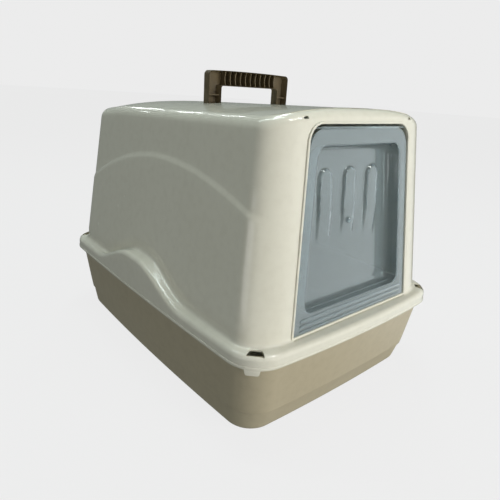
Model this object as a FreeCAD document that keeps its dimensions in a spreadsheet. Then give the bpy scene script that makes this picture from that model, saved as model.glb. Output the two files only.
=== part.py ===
import FreeCAD, Part
import math
import os
import re

import Sketcher

# Cat litter box with hood, in millimetres.
#
# Frame: the origin is on the floor under the middle of the box, +Z is up, the door faces -Y and the
# box is longest along Y.  The tray stands on the floor, the hood sits over its rim, the door hangs
# in the hood's sloping front, and the handle and the odour filter are held by the hood's roof.

SIZES = {
    # Moulded walls and the gap between pieces that must not touch.
    "wall": 2.0,
    "play": 0.3,
    # Tray: a foot, a step a third of the way up, and a rim inside the hood's skirt.
    "foot_width": 346.8,
    "foot_length": 477.4,
    "step_height": 34.0,
    "step_width": 355.2,
    "step_length": 498.0,
    "rim_height": 127.1,
    "rim_width": 381.0,
    "rim_length": 531.0,
    "rim_radius": 38.0,
    "rim_bead": 1.2,
    "rim_bead_height": 4.0,
    "tray_floor_rounding": 8.0,
    # Skirt of the hood: a band round the bottom with a shelf on top of it.
    "skirt_width": 389.6,
    "skirt_length": 540.0,
    "skirt_radius": 42.0,
    "skirt_bottom": 111.4,
    "shelf_top": 129.4,
    "skirt_rounding": 5.0,
    # Wave that lifts the shelf on both long sides.
    "wave_centre": 8.0,
    "wave_height": 36.6,
    "wave_crown_radius": 122.0,
    "wave_foot_radius": 60.0,
    "wave_slope": 30.0,
    # Shell of the hood: its section at the shelf and at the roof, and the fall of the roof.
    "shell_width": 356.0,
    "shell_length": 500.8,
    "shell_radius": 45.0,
    "shell_side_lean": 7.0,
    "roof_front": 392.4,
    "roof_rear": 374.6,
    "roof_height": 383.55,
    "roof_fall": 2.3,
    "roof_rounding": 18.0,
    # Door opening, in the plane of the front, which leans back.
    "door_plane_y": 250.4,
    "door_plane_z": 128.9,
    "door_lean": 6.4,
    "opening_height": 248.0,
    "opening_low_width": 234.4,
    "opening_high_width": 188.3,
    "opening_corner": 21.0,
    "frame_width": 3.0,
    "frame_proud": 2.0,
    # Hinge of the door: pins of the door in two sockets of the hood.
    "hinge_up": 244.0,
    "hinge_back": 1.0,
    "pin_diameter": 4.0,
    "pin_bore": 4.1,
    "pin_reach": 202.0,
    "barrel_diameter": 6.0,
    "barrel_length": 150.0,
    "socket_inner": 92.0,
    "socket_outer": 104.0,
    "socket_low": 238.0,
    "socket_high": 250.0,
    "socket_depth": 6.0,
    # Door: a flat border with a dished panel, three finger ribs and two step ridges.
    "door_gap": 1.5,
    "door_corner": 24.0,
    "door_top_drop": 2.0,
    "dish_low": 26.0,
    "dish_high": 225.0,
    "dish_border": 15.0,
    "dish_depth": 19.5,
    "dish_draft": 9.0,
    "rib_pitch": 46.5,
    "rib_width": 27.0,
    "rib_high": 198.0,
    "rib_low": 112.0,
    "rib_proud": 3.0,
    "ridge_width": 4.0,
    "ridge_pitch": 7.0,
    "ridge_first": 8.0,
    "ridge_proud": 1.2,
    # Handle: a channel bent into a U, open to the front, with ribs across the grip.
    "handle_width": 153.4,
    "handle_leg": 21.7,
    "handle_top": 429.0,
    "handle_underside": 407.0,
    "handle_depth": 14.0,
    "handle_wall": 2.4,
    "handle_corner": 12.0,
    "handle_inner_corner": 6.0,
    "tongue_width": 14.0,
    "tongue_depth": 9.0,
    "tongue_drop": 7.0,
    "grip_rib": 1.6,
    "grip_rib_pitch": 9.6,
    "grip_rib_count": 11,
    "leg_rib_height": 393.5,
    # Odour filter under the roof, behind the handle, and the vents over it.
    "filter_y": 105.0,
    "holder_width": 132.0,
    "holder_length": 112.0,
    "holder_depth": 9.0,
    "holder_wall": 1.6,
    "holder_slot": 6.0,
    "holder_slot_pitch": 12.0,
    "holder_slot_length": 90.0,
    "holder_slot_count": 9,
    "vent_width": 4.0,
    "vent_length": 80.0,
    "vent_pitch": 12.0,
    "vent_count": 9,
    # Corner windows in the shelf and the snap tabs below them.
    "window_outer_width": 22.0,
    "window_inner_width": 14.5,
    "window_near": 18.7,
    "window_far": 29.7,
    "tab_width": 21.0,
    "tab_tip_width": 16.0,
    "tab_drop": 7.4,
    "tab_thickness": 1.6,
    "tab_reach": 39.0,
}

CUT_THROUGH = 30.0
X_AXIS = FreeCAD.Vector(1, 0, 0)
Y_AXIS = FreeCAD.Vector(0, 1, 0)
Z_AXIS = FreeCAD.Vector(0, 0, 1)

doc = FreeCAD.newDocument("litter_box")
sheet = doc.addObject("Spreadsheet::Sheet", "sizes")
for row, (name, size) in enumerate(SIZES.items(), start=1):
    sheet.set(f"A{row}", name)
    sheet.set(f"B{row}", str(size))
    sheet.setAlias(f"B{row}", name)
doc.recompute()


# ---------------------------------------------------------------- sheet, bodies and sketches


def cells(expression):
    """Turn words such as wall or rim_width into references to the sheet's cells."""
    return re.sub(r"[a-z_]+", lambda word: cell(word.group()), expression)


def cell(word):
    """The sheet's cell for a word that is its alias, and any other word as it is."""
    return f"sizes.{word}" if word in SIZES else word


def size_of(expression):
    """Value of an expression of cell names, in mm or degrees."""
    value = sheet.evalExpression(cells(str(expression)))
    return float(getattr(value, "Value", value))


def bind(target, path, expression):
    """Bind a property of a document object to the sheet."""
    target.setExpression(path, cells(str(expression)))


def new_body(name):
    """A PartDesign body whose label is the name of the sub-part."""
    body = doc.addObject("PartDesign::Body", name)
    body.Label = name
    return body


def new_sketch(body, name, role, base=(0, 0, 0), turn_axis=X_AXIS, turn="0"):
    """A sketch on one of the body's own origin planes, moved and turned in that plane's axes."""
    sketch = body.newObject("Sketcher::SketchObject", name)
    plane = next(f for f in body.Origin.OriginFeatures if f.Role == role)
    sketch.AttachmentSupport = [(plane, "")]
    sketch.MapMode = "FlatFace"
    place = FreeCAD.Vector(*[size_of(part) for part in base])
    rotation = FreeCAD.Rotation(turn_axis, size_of(turn))
    sketch.AttachmentOffset = FreeCAD.Placement(place, rotation)
    for axis, part in zip("xyz", base):
        bind(sketch, f"AttachmentOffset.Base.{axis}", f"({part}) * 1mm")
    return sketch


def front_sketch(body, name, back="0"):
    """A sketch in the leaning plane of the door, with its origin at the middle of the sill.

    Its x runs along X, its y up the slope, and back moves it into the box.
    """
    lean = math.radians(SIZES["door_lean"])
    up = f"door_plane_z - ({back}) * {math.sin(lean):.6f}"
    out = f"door_plane_y - ({back}) * {math.cos(lean):.6f}"
    return new_sketch(body, name, "XZ_Plane", ("0", up, out), X_AXIS, "-door_lean")


def drive(sketch, constraint, expression):
    """Add a dimension to a sketch and bind it to the sheet."""
    index = sketch.addConstraint(constraint)
    bind(sketch, f"Constraints[{index}]", expression)


def signed_distance(kind, sketch, element, point, expression):
    """Dimension from the sketch's origin to a point; a zero becomes a point on the axis."""
    value = size_of(expression)
    if abs(value) < 1e-9:
        axis = -2 if kind == "DistanceX" else -1
        sketch.addConstraint(Sketcher.Constraint("PointOnObject", element, point, axis))
    else:
        constraint = Sketcher.Constraint(kind, -1, 1, element, point, value)
        drive(sketch, constraint, expression)


def add_polygon(sketch, corners):
    """Closed polygon whose corners are pairs of expressions, each bound to the sheet."""
    points = [FreeCAD.Vector(size_of(a), size_of(b), 0) for a, b in corners]
    first = sketch.GeometryCount
    count = len(points)
    for i in range(count):
        sketch.addGeometry(Part.LineSegment(points[i], points[(i + 1) % count]), False)
    for i in range(count):
        following = first + (i + 1) % count
        sketch.addConstraint(Sketcher.Constraint("Coincident", first + i, 2, following, 1))
    for i, (across, along) in enumerate(corners):
        signed_distance("DistanceX", sketch, first + i, 1, across)
        signed_distance("DistanceY", sketch, first + i, 1, along)


def add_arched_outline(sketch, low, high, bottom, top, radius):
    """Four-sided outline, low wide at the bottom and high at the top, with rounded top corners.

    A fixed point marks where each rounded corner would be if it were sharp.
    """
    corners = [(f"-({low})", bottom), (low, bottom), (high, top), (f"-({high})", top)]
    points = [FreeCAD.Vector(size_of(a), size_of(b), 0) for a, b in corners]
    r = size_of(radius)
    slope = math.atan2(points[2].y - points[1].y, points[2].x - points[1].x)
    reach = r * math.tan(slope / 2)
    side = (points[2] - points[1]).normalize()
    right_end = points[2] - side * reach
    top_right = points[2] - FreeCAD.Vector(reach, 0, 0)
    middle = FreeCAD.Vector(top_right.x, top_right.y - r, 0)
    halfway = middle + FreeCAD.Vector(math.sin(slope / 2), math.cos(slope / 2), 0) * r
    across = [FreeCAD.Vector(-p.x, p.y, 0) for p in (right_end, halfway, top_right)]
    outline = [
        Part.LineSegment(points[0], points[1]),
        Part.LineSegment(points[1], right_end),
        Part.Arc(right_end, halfway, top_right),
        Part.LineSegment(top_right, across[2]),
        Part.Arc(across[2], across[1], across[0]),
        Part.LineSegment(across[0], points[0]),
    ]
    first = sketch.GeometryCount
    sketch.addGeometry(outline, False)
    sketch.addConstraint(Sketcher.Constraint("Coincident", first, 2, first + 1, 1))
    sketch.addConstraint(Sketcher.Constraint("Coincident", first + 5, 2, first, 1))
    for i in range(1, 5):
        sketch.addConstraint(Sketcher.Constraint("Tangent", first + i, 2, first + i + 1, 1))
    for i in (2, 4):
        drive(sketch, Sketcher.Constraint("Radius", first + i, r), radius)
    for corner, line in ((0, first), (1, first + 1)):
        signed_distance("DistanceX", sketch, line, 1, corners[corner][0])
        signed_distance("DistanceY", sketch, line, 1, corners[corner][1])
    for corner, line in ((2, first + 1), (3, first + 5)):
        mark = sketch.addGeometry(Part.Point(points[corner]), True)
        signed_distance("DistanceX", sketch, mark, 1, corners[corner][0])
        signed_distance("DistanceY", sketch, mark, 1, corners[corner][1])
        sketch.addConstraint(Sketcher.Constraint("PointOnObject", mark, 1, line))
        sketch.addConstraint(Sketcher.Constraint("PointOnObject", mark, 1, first + 3))


def add_rectangle(sketch, width, length):
    """Rectangle centred on the sketch's origin."""
    x = f"({width}) / 2"
    y = f"({length}) / 2"
    add_polygon(sketch, [(f"-{x}", f"-{y}"), (x, f"-{y}"), (x, y), (f"-{x}", y)])


def add_rounded_rectangle(sketch, width, length, radius):
    """Rounded rectangle centred on the sketch's origin, four sides and four tangent corners."""
    x = size_of(width) / 2
    y = size_of(length) / 2
    r = size_of(radius)
    first = sketch.GeometryCount
    corners = [(x - r, -y + r, 270), (x - r, y - r, 0), (-x + r, y - r, 90), (-x + r, -y + r, 180)]
    sides = [((-x + r, -y), (x - r, -y)), ((x, -y + r), (x, y - r))]
    sides += [((x - r, y), (-x + r, y)), ((-x, y - r), (-x, -y + r))]
    for (start, end), (centre_x, centre_y, angle) in zip(sides, corners):
        line = Part.LineSegment(FreeCAD.Vector(*start, 0), FreeCAD.Vector(*end, 0))
        sketch.addGeometry(line, False)
        circle = Part.Circle(FreeCAD.Vector(centre_x, centre_y, 0), Z_AXIS, r)
        turn = math.radians(angle)
        sketch.addGeometry(Part.ArcOfCircle(circle, turn, turn + math.pi / 2), False)
    for i in range(8):
        following = first + (i + 1) % 8
        sketch.addConstraint(Sketcher.Constraint("Tangent", first + i, 2, following, 1))
    for i in (3, 5, 7):
        sketch.addConstraint(Sketcher.Constraint("Equal", first + 1, first + i))
    for i in (0, 4):
        sketch.addConstraint(Sketcher.Constraint("Horizontal", first + i))
    for i in (2, 6):
        sketch.addConstraint(Sketcher.Constraint("Vertical", first + i))
    drive(sketch, Sketcher.Constraint("Radius", first + 1, r), radius)
    signed_distance("DistanceX", sketch, first + 2, 1, f"({width}) / 2")
    signed_distance("DistanceX", sketch, first + 6, 1, f"-({width}) / 2")
    signed_distance("DistanceY", sketch, first + 4, 1, f"({length}) / 2")
    signed_distance("DistanceY", sketch, first + 0, 1, f"-({length}) / 2")


def add_circle(sketch, across, along, diameter):
    """Circle whose place and diameter are bound to the sheet."""
    centre = FreeCAD.Vector(size_of(across), size_of(along), 0)
    index = sketch.addGeometry(Part.Circle(centre, Z_AXIS, size_of(diameter) / 2), False)
    signed_distance("DistanceX", sketch, index, 3, across)
    signed_distance("DistanceY", sketch, index, 3, along)
    drive(sketch, Sketcher.Constraint("Diameter", index, size_of(diameter)), diameter)


# ---------------------------------------------------------------- features


def pad(body, name, sketch, length, reverse=False, middle=False):
    """Pad a sketch along its normal, against it, or evenly to both sides."""
    feature = body.newObject("PartDesign::Pad", name)
    feature.Profile = sketch
    feature.Length = size_of(length)
    bind(feature, "Length", length)
    feature.Reversed = reverse
    feature.Midplane = middle
    doc.recompute()
    return feature


def pocket(body, name, sketch, length, reverse=False, middle=False):
    """Pocket a sketch and make sure that it took material away."""
    before = body.Shape.Volume
    feature = body.newObject("PartDesign::Pocket", name)
    feature.Profile = sketch
    feature.Length = size_of(length)
    bind(feature, "Length", length)
    feature.Reversed = reverse
    feature.Midplane = middle
    doc.recompute()
    if body.Shape.Volume > before - 1.0:
        raise RuntimeError(f"{name} cut nothing")
    return feature


def loft(body, kind, name, sections):
    """Ruled loft, additive or subtractive, through sketches."""
    feature = body.newObject(f"PartDesign::{kind}Loft", name)
    feature.Profile = sections[0]
    feature.Sections = sections[1:]
    feature.Ruled = True
    doc.recompute()
    return feature


def fillet(body, name, radius, wanted):
    """Round the edges of the body's tip whose bounding box and edge pass the test."""
    tip = body.Tip
    names = []
    for number, edge in enumerate(tip.Shape.Edges, start=1):
        if wanted(edge.BoundBox, edge):
            names.append(f"Edge{number}")
    feature = body.newObject("PartDesign::Fillet", name)
    feature.Base = (tip, names)
    feature.Radius = size_of(radius)
    bind(feature, "Radius", radius)
    doc.recompute()
    return feature


def row_of(body, name, original, axis_role, pitch, count):
    """Repeat a feature along an origin axis, in a row centred on the original."""
    axis = next(f for f in body.Origin.OriginFeatures if f.Role == axis_role)
    feature = body.newObject("PartDesign::LinearPattern", name)
    feature.Originals = [original]
    feature.Direction = (axis, [""])
    feature.Length = size_of(f"({pitch}) * (({count}) - 1)")
    bind(feature, "Length", f"({pitch}) * (({count}) - 1) * 1mm")
    feature.Occurrences = int(size_of(count))
    body.Tip = feature
    doc.recompute()
    return feature


def near(a, b, tolerance=0.05):
    """True where two lengths agree."""
    return abs(a - b) < tolerance


def upright(edge):
    """True for a straight edge that runs mostly up and down."""
    box = edge.BoundBox
    return box.ZLength > 10 and box.ZLength > 3 * max(box.XLength, box.YLength)


# ---------------------------------------------------------------- tray


def band_sketch(body, name, height, *outlines):
    """Rounded rectangles at a height, each given by its width, length and corner radius."""
    sketch = new_sketch(body, name, "XY_Plane", ("0", "0", height))
    for width, length, radius in outlines:
        add_rounded_rectangle(sketch, width, length, radius)
    return sketch


def corner_edge(width, length):
    """Test for the sharp slanting edges at the four corners of a box at least this large."""

    def test(box, edge):
        far_x = min(abs(box.XMin), abs(box.XMax)) > width / 2
        far_y = min(abs(box.YMin), abs(box.YMax)) > length / 2
        return upright(edge) and far_x and far_y

    return test


def add_form(body, name, side_view, front_view):
    """Solid whose outline is side_view seen along X and front_view seen along Y."""
    side = new_sketch(body, f"{name}_side_view", "YZ_Plane")
    add_polygon(side, side_view)
    pad(body, f"{name}_block", side, "2 * skirt_width", middle=True)
    front = new_sketch(body, f"{name}_front_view", "XZ_Plane")
    add_rectangle(front, "3 * skirt_width", "2 * skirt_length")
    add_polygon(front, front_view)
    pocket(body, f"{name}_trim", front, "2 * skirt_length", middle=True)


def mirrored(points):
    """Closed outline from the points up its right-hand side, mirrored to the left."""
    left = [(f"-({across})", height) for across, height in reversed(points)]
    return points + left


def cut_away(body, cavity):
    """Take the cavity's body out of the body."""
    feature = body.newObject("PartDesign::Boolean", f"{cavity.Name}_cut")
    feature.Type = "Cut"
    feature.addObject(cavity)
    body.Tip = feature
    doc.recompute()
    return feature


def make_tray():
    """Litter pan: a stepped shell with a bead round its rim."""
    body = new_body("tray")
    add_tray_form(body, "pan", "0")
    cavity = new_body("tray_cavity")
    add_tray_form(cavity, "pan_inside", "wall")
    cut_away(body, cavity)
    outer = ("rim_width + 2 * rim_bead", "rim_length + 2 * rim_bead", "rim_radius + rim_bead")
    inner = ("rim_width - 1.5 * wall", "rim_length - 1.5 * wall", "rim_radius - wall")
    bead = band_sketch(body, "bead_outline", "rim_height - rim_bead_height", outer, inner)
    pad(body, "tray_bead", bead, "rim_bead_height")
    return body


def add_tray_form(body, name, inset):
    """Outer or inner form of the tray, with rounded corners and foot."""
    width = ("foot_width", "step_width", "rim_width")
    length = ("foot_length", "step_length", "rim_length")
    height = (inset, "step_height", "rim_height")
    across = [(f"{w} / 2 - {inset}", z) for w, z in zip(width, height)]
    along = [(f"{y} / 2 - {inset}", z) for y, z in zip(length, height)]
    add_form(body, name, mirrored(along), mirrored(across))
    corner = corner_edge(size_of("foot_width - 6 * wall"), size_of("foot_length - 6 * wall"))
    fillet(body, f"{name}_corners", f"rim_radius - {inset}", corner)
    level = size_of(inset)

    def foot_edge(box, edge):
        return near(box.ZMin, level) and near(box.ZMax, level)

    fillet(body, f"{name}_foot_rounding", f"tray_floor_rounding - {inset}", foot_edge)


# ---------------------------------------------------------------- hood


def wave_sketch(body, name, drop):
    """Outline of the wave, seen from the side; drop moves it inwards from the outer surface."""
    sketch = new_sketch(body, name, "YZ_Plane")
    slope = math.radians(size_of("wave_slope"))
    crown = size_of(f"wave_crown_radius - ({drop})")
    foot = size_of(f"wave_foot_radius + ({drop})")
    centre = size_of("wave_centre")
    top = size_of(f"shelf_top + wave_height - ({drop})")
    low = size_of(f"shelf_top - ({drop})")
    bottom = size_of("skirt_bottom")

    crown_side = crown * math.sin(slope)
    crown_low = top - crown * (1 - math.cos(slope))
    foot_high = low + foot * (1 - math.cos(slope))
    foot_start = crown_side + (crown_low - foot_high) / math.tan(slope)
    foot_end = foot_start + foot * math.sin(slope)

    def point(side, along, height):
        return FreeCAD.Vector(centre + side * along, height, 0)

    left_end = point(-1, foot_end, low)
    left_foot = point(-1, foot_start, foot_high)
    left_crown = point(-1, crown_side, crown_low)
    right_crown = point(1, crown_side, crown_low)
    right_foot = point(1, foot_start, foot_high)
    right_end = point(1, foot_end, low)
    foot_middle = foot_end - foot * math.sin(slope / 2)
    foot_middle_high = low + foot * (1 - math.cos(slope / 2))
    outline = [
        Part.LineSegment(point(-1, foot_end, bottom), left_end),
        Part.Arc(left_end, point(-1, foot_middle, foot_middle_high), left_foot),
        Part.LineSegment(left_foot, left_crown),
        Part.Arc(left_crown, point(1, 0, top), right_crown),
        Part.LineSegment(right_crown, right_foot),
        Part.Arc(right_foot, point(1, foot_middle, foot_middle_high), right_end),
        Part.LineSegment(right_end, point(1, foot_end, bottom)),
        Part.LineSegment(point(1, foot_end, bottom), point(-1, foot_end, bottom)),
    ]
    sketch.addGeometry(outline, False)
    return sketch


def corner_places():
    """Centre of the skirt's corner rounding and direction outwards, for all four corners."""
    x = "(skirt_width / 2 - skirt_radius)"
    y = "(skirt_length / 2 - skirt_radius)"
    return [
        ("front_right", f"{x}", f"-{y}", -45),
        ("rear_right", f"{x}", f"{y}", 45),
        ("rear_left", f"-{x}", f"{y}", 135),
        ("front_left", f"-{x}", f"-{y}", 225),
    ]


def make_hood():
    """Shell with its skirt, waves, door frame, hinge sockets, roof openings, windows and tabs."""
    body = new_body("hood")
    add_hood_outside(body)
    hollow_hood(body)
    add_door_frame(body)
    add_hinge_sockets(body)
    cut_roof(body)
    for corner in corner_places():
        add_corner_snap(body, *corner)
    return body


def add_shell_form(body, name, low, inset):
    """Outer or inner form of the shell above the shelf, with rounded corners and roof."""
    front_lean = f"{math.tan(math.radians(SIZES['door_lean'])):.6f}"
    side_lean = f"{math.tan(math.radians(SIZES['shell_side_lean'])):.6f}"
    ends = [low, f"roof_front - {inset}", f"roof_rear - {inset}"]
    reach = [f"(shell_length / 2 - {inset} - (({z}) - shelf_top) * {front_lean})" for z in ends]
    side_view = [(f"-{reach[0]}", ends[0]), (reach[0], ends[0])]
    side_view += [(reach[2], ends[2]), (f"-{reach[1]}", ends[1])]
    heights = [low, "roof_front + shell_radius"]
    front_view = []
    for z in heights:
        front_view.append((f"shell_width / 2 - {inset} - (({z}) - shelf_top) * {side_lean}", z))
    add_form(body, name, side_view, mirrored(front_view))
    corner = corner_edge(size_of("shell_width / 2"), size_of("shell_length * 2 / 3"))
    fillet(body, f"{name}_corners", f"shell_radius - {inset}", corner)
    top = size_of("roof_rear") - 2 * size_of("wall") - 0.5
    fillet(body, f"{name}_roof_edge", f"roof_rounding - {inset}", lambda box, edge: box.ZMin > top)


def add_hood_outside(body):
    """Solid outer form: shell, skirt and waves, with their rounded edges."""
    add_shell_form(body, "shell", "shelf_top", "0")
    outline = ("skirt_width", "skirt_length", "skirt_radius")
    skirt = band_sketch(body, "skirt_outline", "skirt_bottom", outline)
    pad(body, "skirt_outside", skirt, "shelf_top - skirt_bottom")
    wave = wave_sketch(body, "wave_outline", "0")
    pad(body, "wave_outside", wave, "skirt_width", middle=True)
    fillet(body, "skirt_edge", "skirt_rounding", on_skirt_rim)


def on_skirt_rim(box, edge):
    """Test for the outer edge of the shelf and of the waves."""
    side = size_of("skirt_width / 2")
    end = size_of("skirt_length / 2")
    shelf = size_of("shelf_top")
    middle = edge.valueAt((edge.FirstParameter + edge.LastParameter) / 2)
    inset_x = side - abs(middle.x)
    inset_y = end - abs(middle.y)
    radius = size_of("skirt_radius")
    to_centre = math.hypot(radius - inset_x, radius - inset_y)
    in_corner = inset_x < radius and inset_y < radius
    outer = near(to_centre, radius) if in_corner else near(min(inset_x, inset_y), 0)
    return outer and box.ZMin > shelf - 0.1


def hollow_hood(body):
    """Take out the inside, leaving an even wall."""
    outline = ("skirt_width - 2 * wall", "skirt_length - 2 * wall", "skirt_radius - wall")
    skirt = band_sketch(body, "skirt_inside_outline", "skirt_bottom", outline)
    pocket(body, "skirt_inside", skirt, "shelf_top - skirt_bottom - wall", reverse=True)
    wave = wave_sketch(body, "wave_inside_outline", "wall")
    pocket(body, "wave_inside", wave, "skirt_width - 2 * wall", middle=True)
    cavity = new_body("hood_cavity")
    add_shell_form(cavity, "cavity", "shelf_top - 4 * wall", "wall")
    cut_away(body, cavity)


def add_door_frame(body):
    """Door opening in the leaning front, with a raised frame round it."""
    low = "opening_low_width / 2"
    high = "opening_high_width / 2"
    frame = front_sketch(body, "frame_outline")
    edge = "frame_width"
    radius = "opening_corner + frame_width"
    add_arched_outline(frame, f"{low} + {edge}", f"{high} + {edge}", "0", f"opening_height + {edge}", radius)
    pad(body, "door_frame", frame, "frame_proud")
    opening = front_sketch(body, "opening_outline")
    add_arched_outline(opening, low, high, "0", "opening_height", "opening_corner")
    pocket(body, "door_opening", opening, f"{CUT_THROUGH}", middle=True)


def add_hinge_sockets(body):
    """Thick pads behind the front wall, bored along X for the door's pins."""
    for side, name in ((-1, "left"), (1, "right")):
        outline = front_sketch(body, f"socket_{name}")
        inner = f"{side} * socket_inner"
        outer = f"{side} * socket_outer"
        corners = [(inner, "socket_low"), (outer, "socket_low")]
        corners += [(outer, "socket_high"), (inner, "socket_high")]
        add_polygon(outline, corners)
        pad(body, f"hinge_socket_{name}", outline, "socket_depth", reverse=True)
    bore = hinge_sketch(body, "bore_outline", "pin_bore")
    pocket(body, "hinge_bore", bore, "pin_reach + 2 * play", middle=True)


def hinge_sketch(body, name, diameter):
    """Circle on the hinge axis, in the YZ plane."""
    sketch = new_sketch(body, name, "YZ_Plane")
    lean = math.radians(size_of("door_lean"))
    sine = f"{math.sin(lean):.6f}"
    cosine = f"{math.cos(lean):.6f}"
    along = f"-door_plane_y + hinge_up * {sine} + hinge_back * {cosine}"
    height = f"door_plane_z + hinge_up * {cosine} - hinge_back * {sine}"
    add_circle(sketch, along, height, diameter)
    return sketch


def cut_roof(body):
    """Slots for the handle's tongues and a row of vents over the filter."""
    slots = new_sketch(body, "handle_slots", "XY_Plane", ("0", "0", "roof_height + 20"))
    for side in (-1, 1):
        middle = f"{side} * (handle_width - handle_leg) / 2"
        x_low = f"{middle} - tongue_width / 2"
        x_high = f"{middle} + tongue_width / 2"
        y = "tongue_depth / 2"
        add_polygon(slots, [(x_low, f"-{y}"), (x_high, f"-{y}"), (x_high, y), (x_low, y)])
    pocket(body, "handle_slot", slots, f"{CUT_THROUGH}")
    vent = new_sketch(body, "vent_outline", "XY_Plane", ("0", "0", "roof_height + 20"))
    x_low = "-vent_pitch * (vent_count - 1) / 2 - vent_width / 2"
    x_high = "-vent_pitch * (vent_count - 1) / 2 + vent_width / 2"
    y_low = "filter_y - vent_length / 2"
    y_high = "filter_y + vent_length / 2"
    add_polygon(vent, [(x_low, y_low), (x_high, y_low), (x_high, y_high), (x_low, y_high)])
    cut = pocket(body, "vent", vent, f"{CUT_THROUGH + 10}")
    row_of(body, "vents", cut, "X_Axis", "vent_pitch", "vent_count")


def add_corner_snap(body, name, x, y, angle):
    """Window in the shelf and the snap tab that hangs below it, square to the corner's diagonal."""
    window = new_sketch(
        body, f"window_{name}", "XY_Plane", (x, y, "shelf_top + wall"), Z_AXIS, f"{angle - 90}"
    )
    far = "window_outer_width / 2"
    close = "window_inner_width / 2"
    corners = [(f"-{close}", "window_near"), (close, "window_near")]
    corners += [(far, "window_far"), (f"-{far}", "window_far")]
    add_polygon(window, corners)
    pocket(body, f"corner_window_{name}", window, "4 * wall")
    turn = math.radians(angle)
    tab = new_sketch(
        body,
        f"tab_{name}",
        "XZ_Plane",
        (
            f"{x} + tab_reach * {math.cos(turn):.6f}",
            "skirt_bottom",
            f"-({y} + tab_reach * {math.sin(turn):.6f})",
        ),
        Y_AXIS,
        f"{angle + 90}",
    )
    top = "tab_width / 2"
    tip = "tab_tip_width / 2"
    add_polygon(tab, [(f"-{tip}", "-tab_drop"), (tip, "-tab_drop"), (top, "wall"), (f"-{top}", "wall")])
    pad(body, f"snap_tab_{name}", tab, "tab_thickness")


# ---------------------------------------------------------------- door


def dish_outline(inset):
    """Corners of the dished panel, drawn in by an inset."""
    low = f"(opening_low_width / 2 - door_gap - dish_border - ({inset}))"
    high = f"(opening_high_width / 2 - door_gap - dish_border - ({inset}))"
    bottom = f"dish_low + ({inset})"
    top = f"dish_high - ({inset})"
    return [(f"-{low}", bottom), (low, bottom), (high, top), (f"-{high}", top)]


def make_door():
    """Swinging door: border, dish, finger ribs, step ridges and hinge pins in one moulding."""
    body = new_body("door_flap")
    border = front_sketch(body, "border_outline")
    low = "opening_low_width / 2 - door_gap"
    high = "opening_high_width / 2 - door_gap"
    top = "opening_height - door_top_drop"
    add_arched_outline(border, low, high, "door_gap", top, "door_corner")
    pad(body, "border", border, "wall", reverse=True)

    sections = []
    for name, back, inset in (("dish_front", "0", "0"), ("dish_back", "dish_depth", "dish_draft")):
        sketch = front_sketch(body, name, back)
        add_polygon(sketch, dish_outline(inset))
        sections.append(sketch)
    loft(body, "Additive", "dish_outside", sections)
    sections = []
    inner = (("hollow_front", "-1", "wall - 0.5"), ("hollow_back", "dish_depth - wall", "dish_draft + 1"))
    for name, back, inset in inner:
        sketch = front_sketch(body, name, back)
        add_polygon(sketch, dish_outline(inset))
        sections.append(sketch)
    loft(body, "Subtractive", "dish_inside", sections)

    for index in (-1, 0, 1):
        add_finger_rib(body, index)
    for index in range(2):
        ridge = front_sketch(body, f"ridge_outline_{index}")
        low = f"ridge_first + {index} * ridge_pitch"
        high = f"{low} + ridge_width"
        side = "opening_low_width / 2 - 2 * door_gap - ridge_pitch"
        add_polygon(ridge, [(f"-({side})", low), (side, low), (side, high), (f"-({side})", high)])
        pad(body, f"ridge_{index}", ridge, "ridge_proud")

    barrel = hinge_sketch(body, "barrel_outline", "barrel_diameter")
    pad(body, "barrel", barrel, "barrel_length", middle=True)
    pins = hinge_sketch(body, "pin_outline", "pin_diameter")
    pad(body, "pins", pins, "pin_reach", middle=True)
    return body


def add_finger_rib(body, index):
    """Arch-topped rib that stands out of the dished panel."""
    sketch = front_sketch(body, f"rib_outline_{index + 1}", "dish_depth - wall")
    middle = f"({index} * rib_pitch)"
    x = size_of(middle)
    half = size_of("rib_width / 2")
    low = size_of("rib_low")
    shoulder = size_of("rib_high - rib_width / 2")
    circle = Part.Circle(FreeCAD.Vector(x, shoulder, 0), Z_AXIS, half)
    arch = sketch.addGeometry(Part.ArcOfCircle(circle, 0, math.pi), False)
    corners = [(x - half, shoulder), (x - half, low), (x + half, low), (x + half, shoulder)]
    points = [FreeCAD.Vector(a, b, 0) for a, b in corners]
    lines = [sketch.addGeometry(Part.LineSegment(points[i], points[i + 1]), False) for i in range(3)]
    sketch.addConstraint(Sketcher.Constraint("Coincident", arch, 2, lines[0], 1))
    sketch.addConstraint(Sketcher.Constraint("Coincident", lines[0], 2, lines[1], 1))
    sketch.addConstraint(Sketcher.Constraint("Coincident", lines[1], 2, lines[2], 1))
    sketch.addConstraint(Sketcher.Constraint("Coincident", lines[2], 2, arch, 1))
    sketch.addConstraint(Sketcher.Constraint("Vertical", lines[0]))
    sketch.addConstraint(Sketcher.Constraint("Vertical", lines[2]))
    sketch.addConstraint(Sketcher.Constraint("Horizontal", lines[1]))
    drive(sketch, Sketcher.Constraint("Radius", arch, half), "rib_width / 2")
    signed_distance("DistanceX", sketch, arch, 3, middle)
    signed_distance("DistanceY", sketch, arch, 3, "rib_high - rib_width / 2")
    signed_distance("DistanceY", sketch, lines[1], 1, "rib_low")
    pad(body, f"finger_rib_{index + 1}", sketch, "rib_proud")


# ---------------------------------------------------------------- handle


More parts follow.
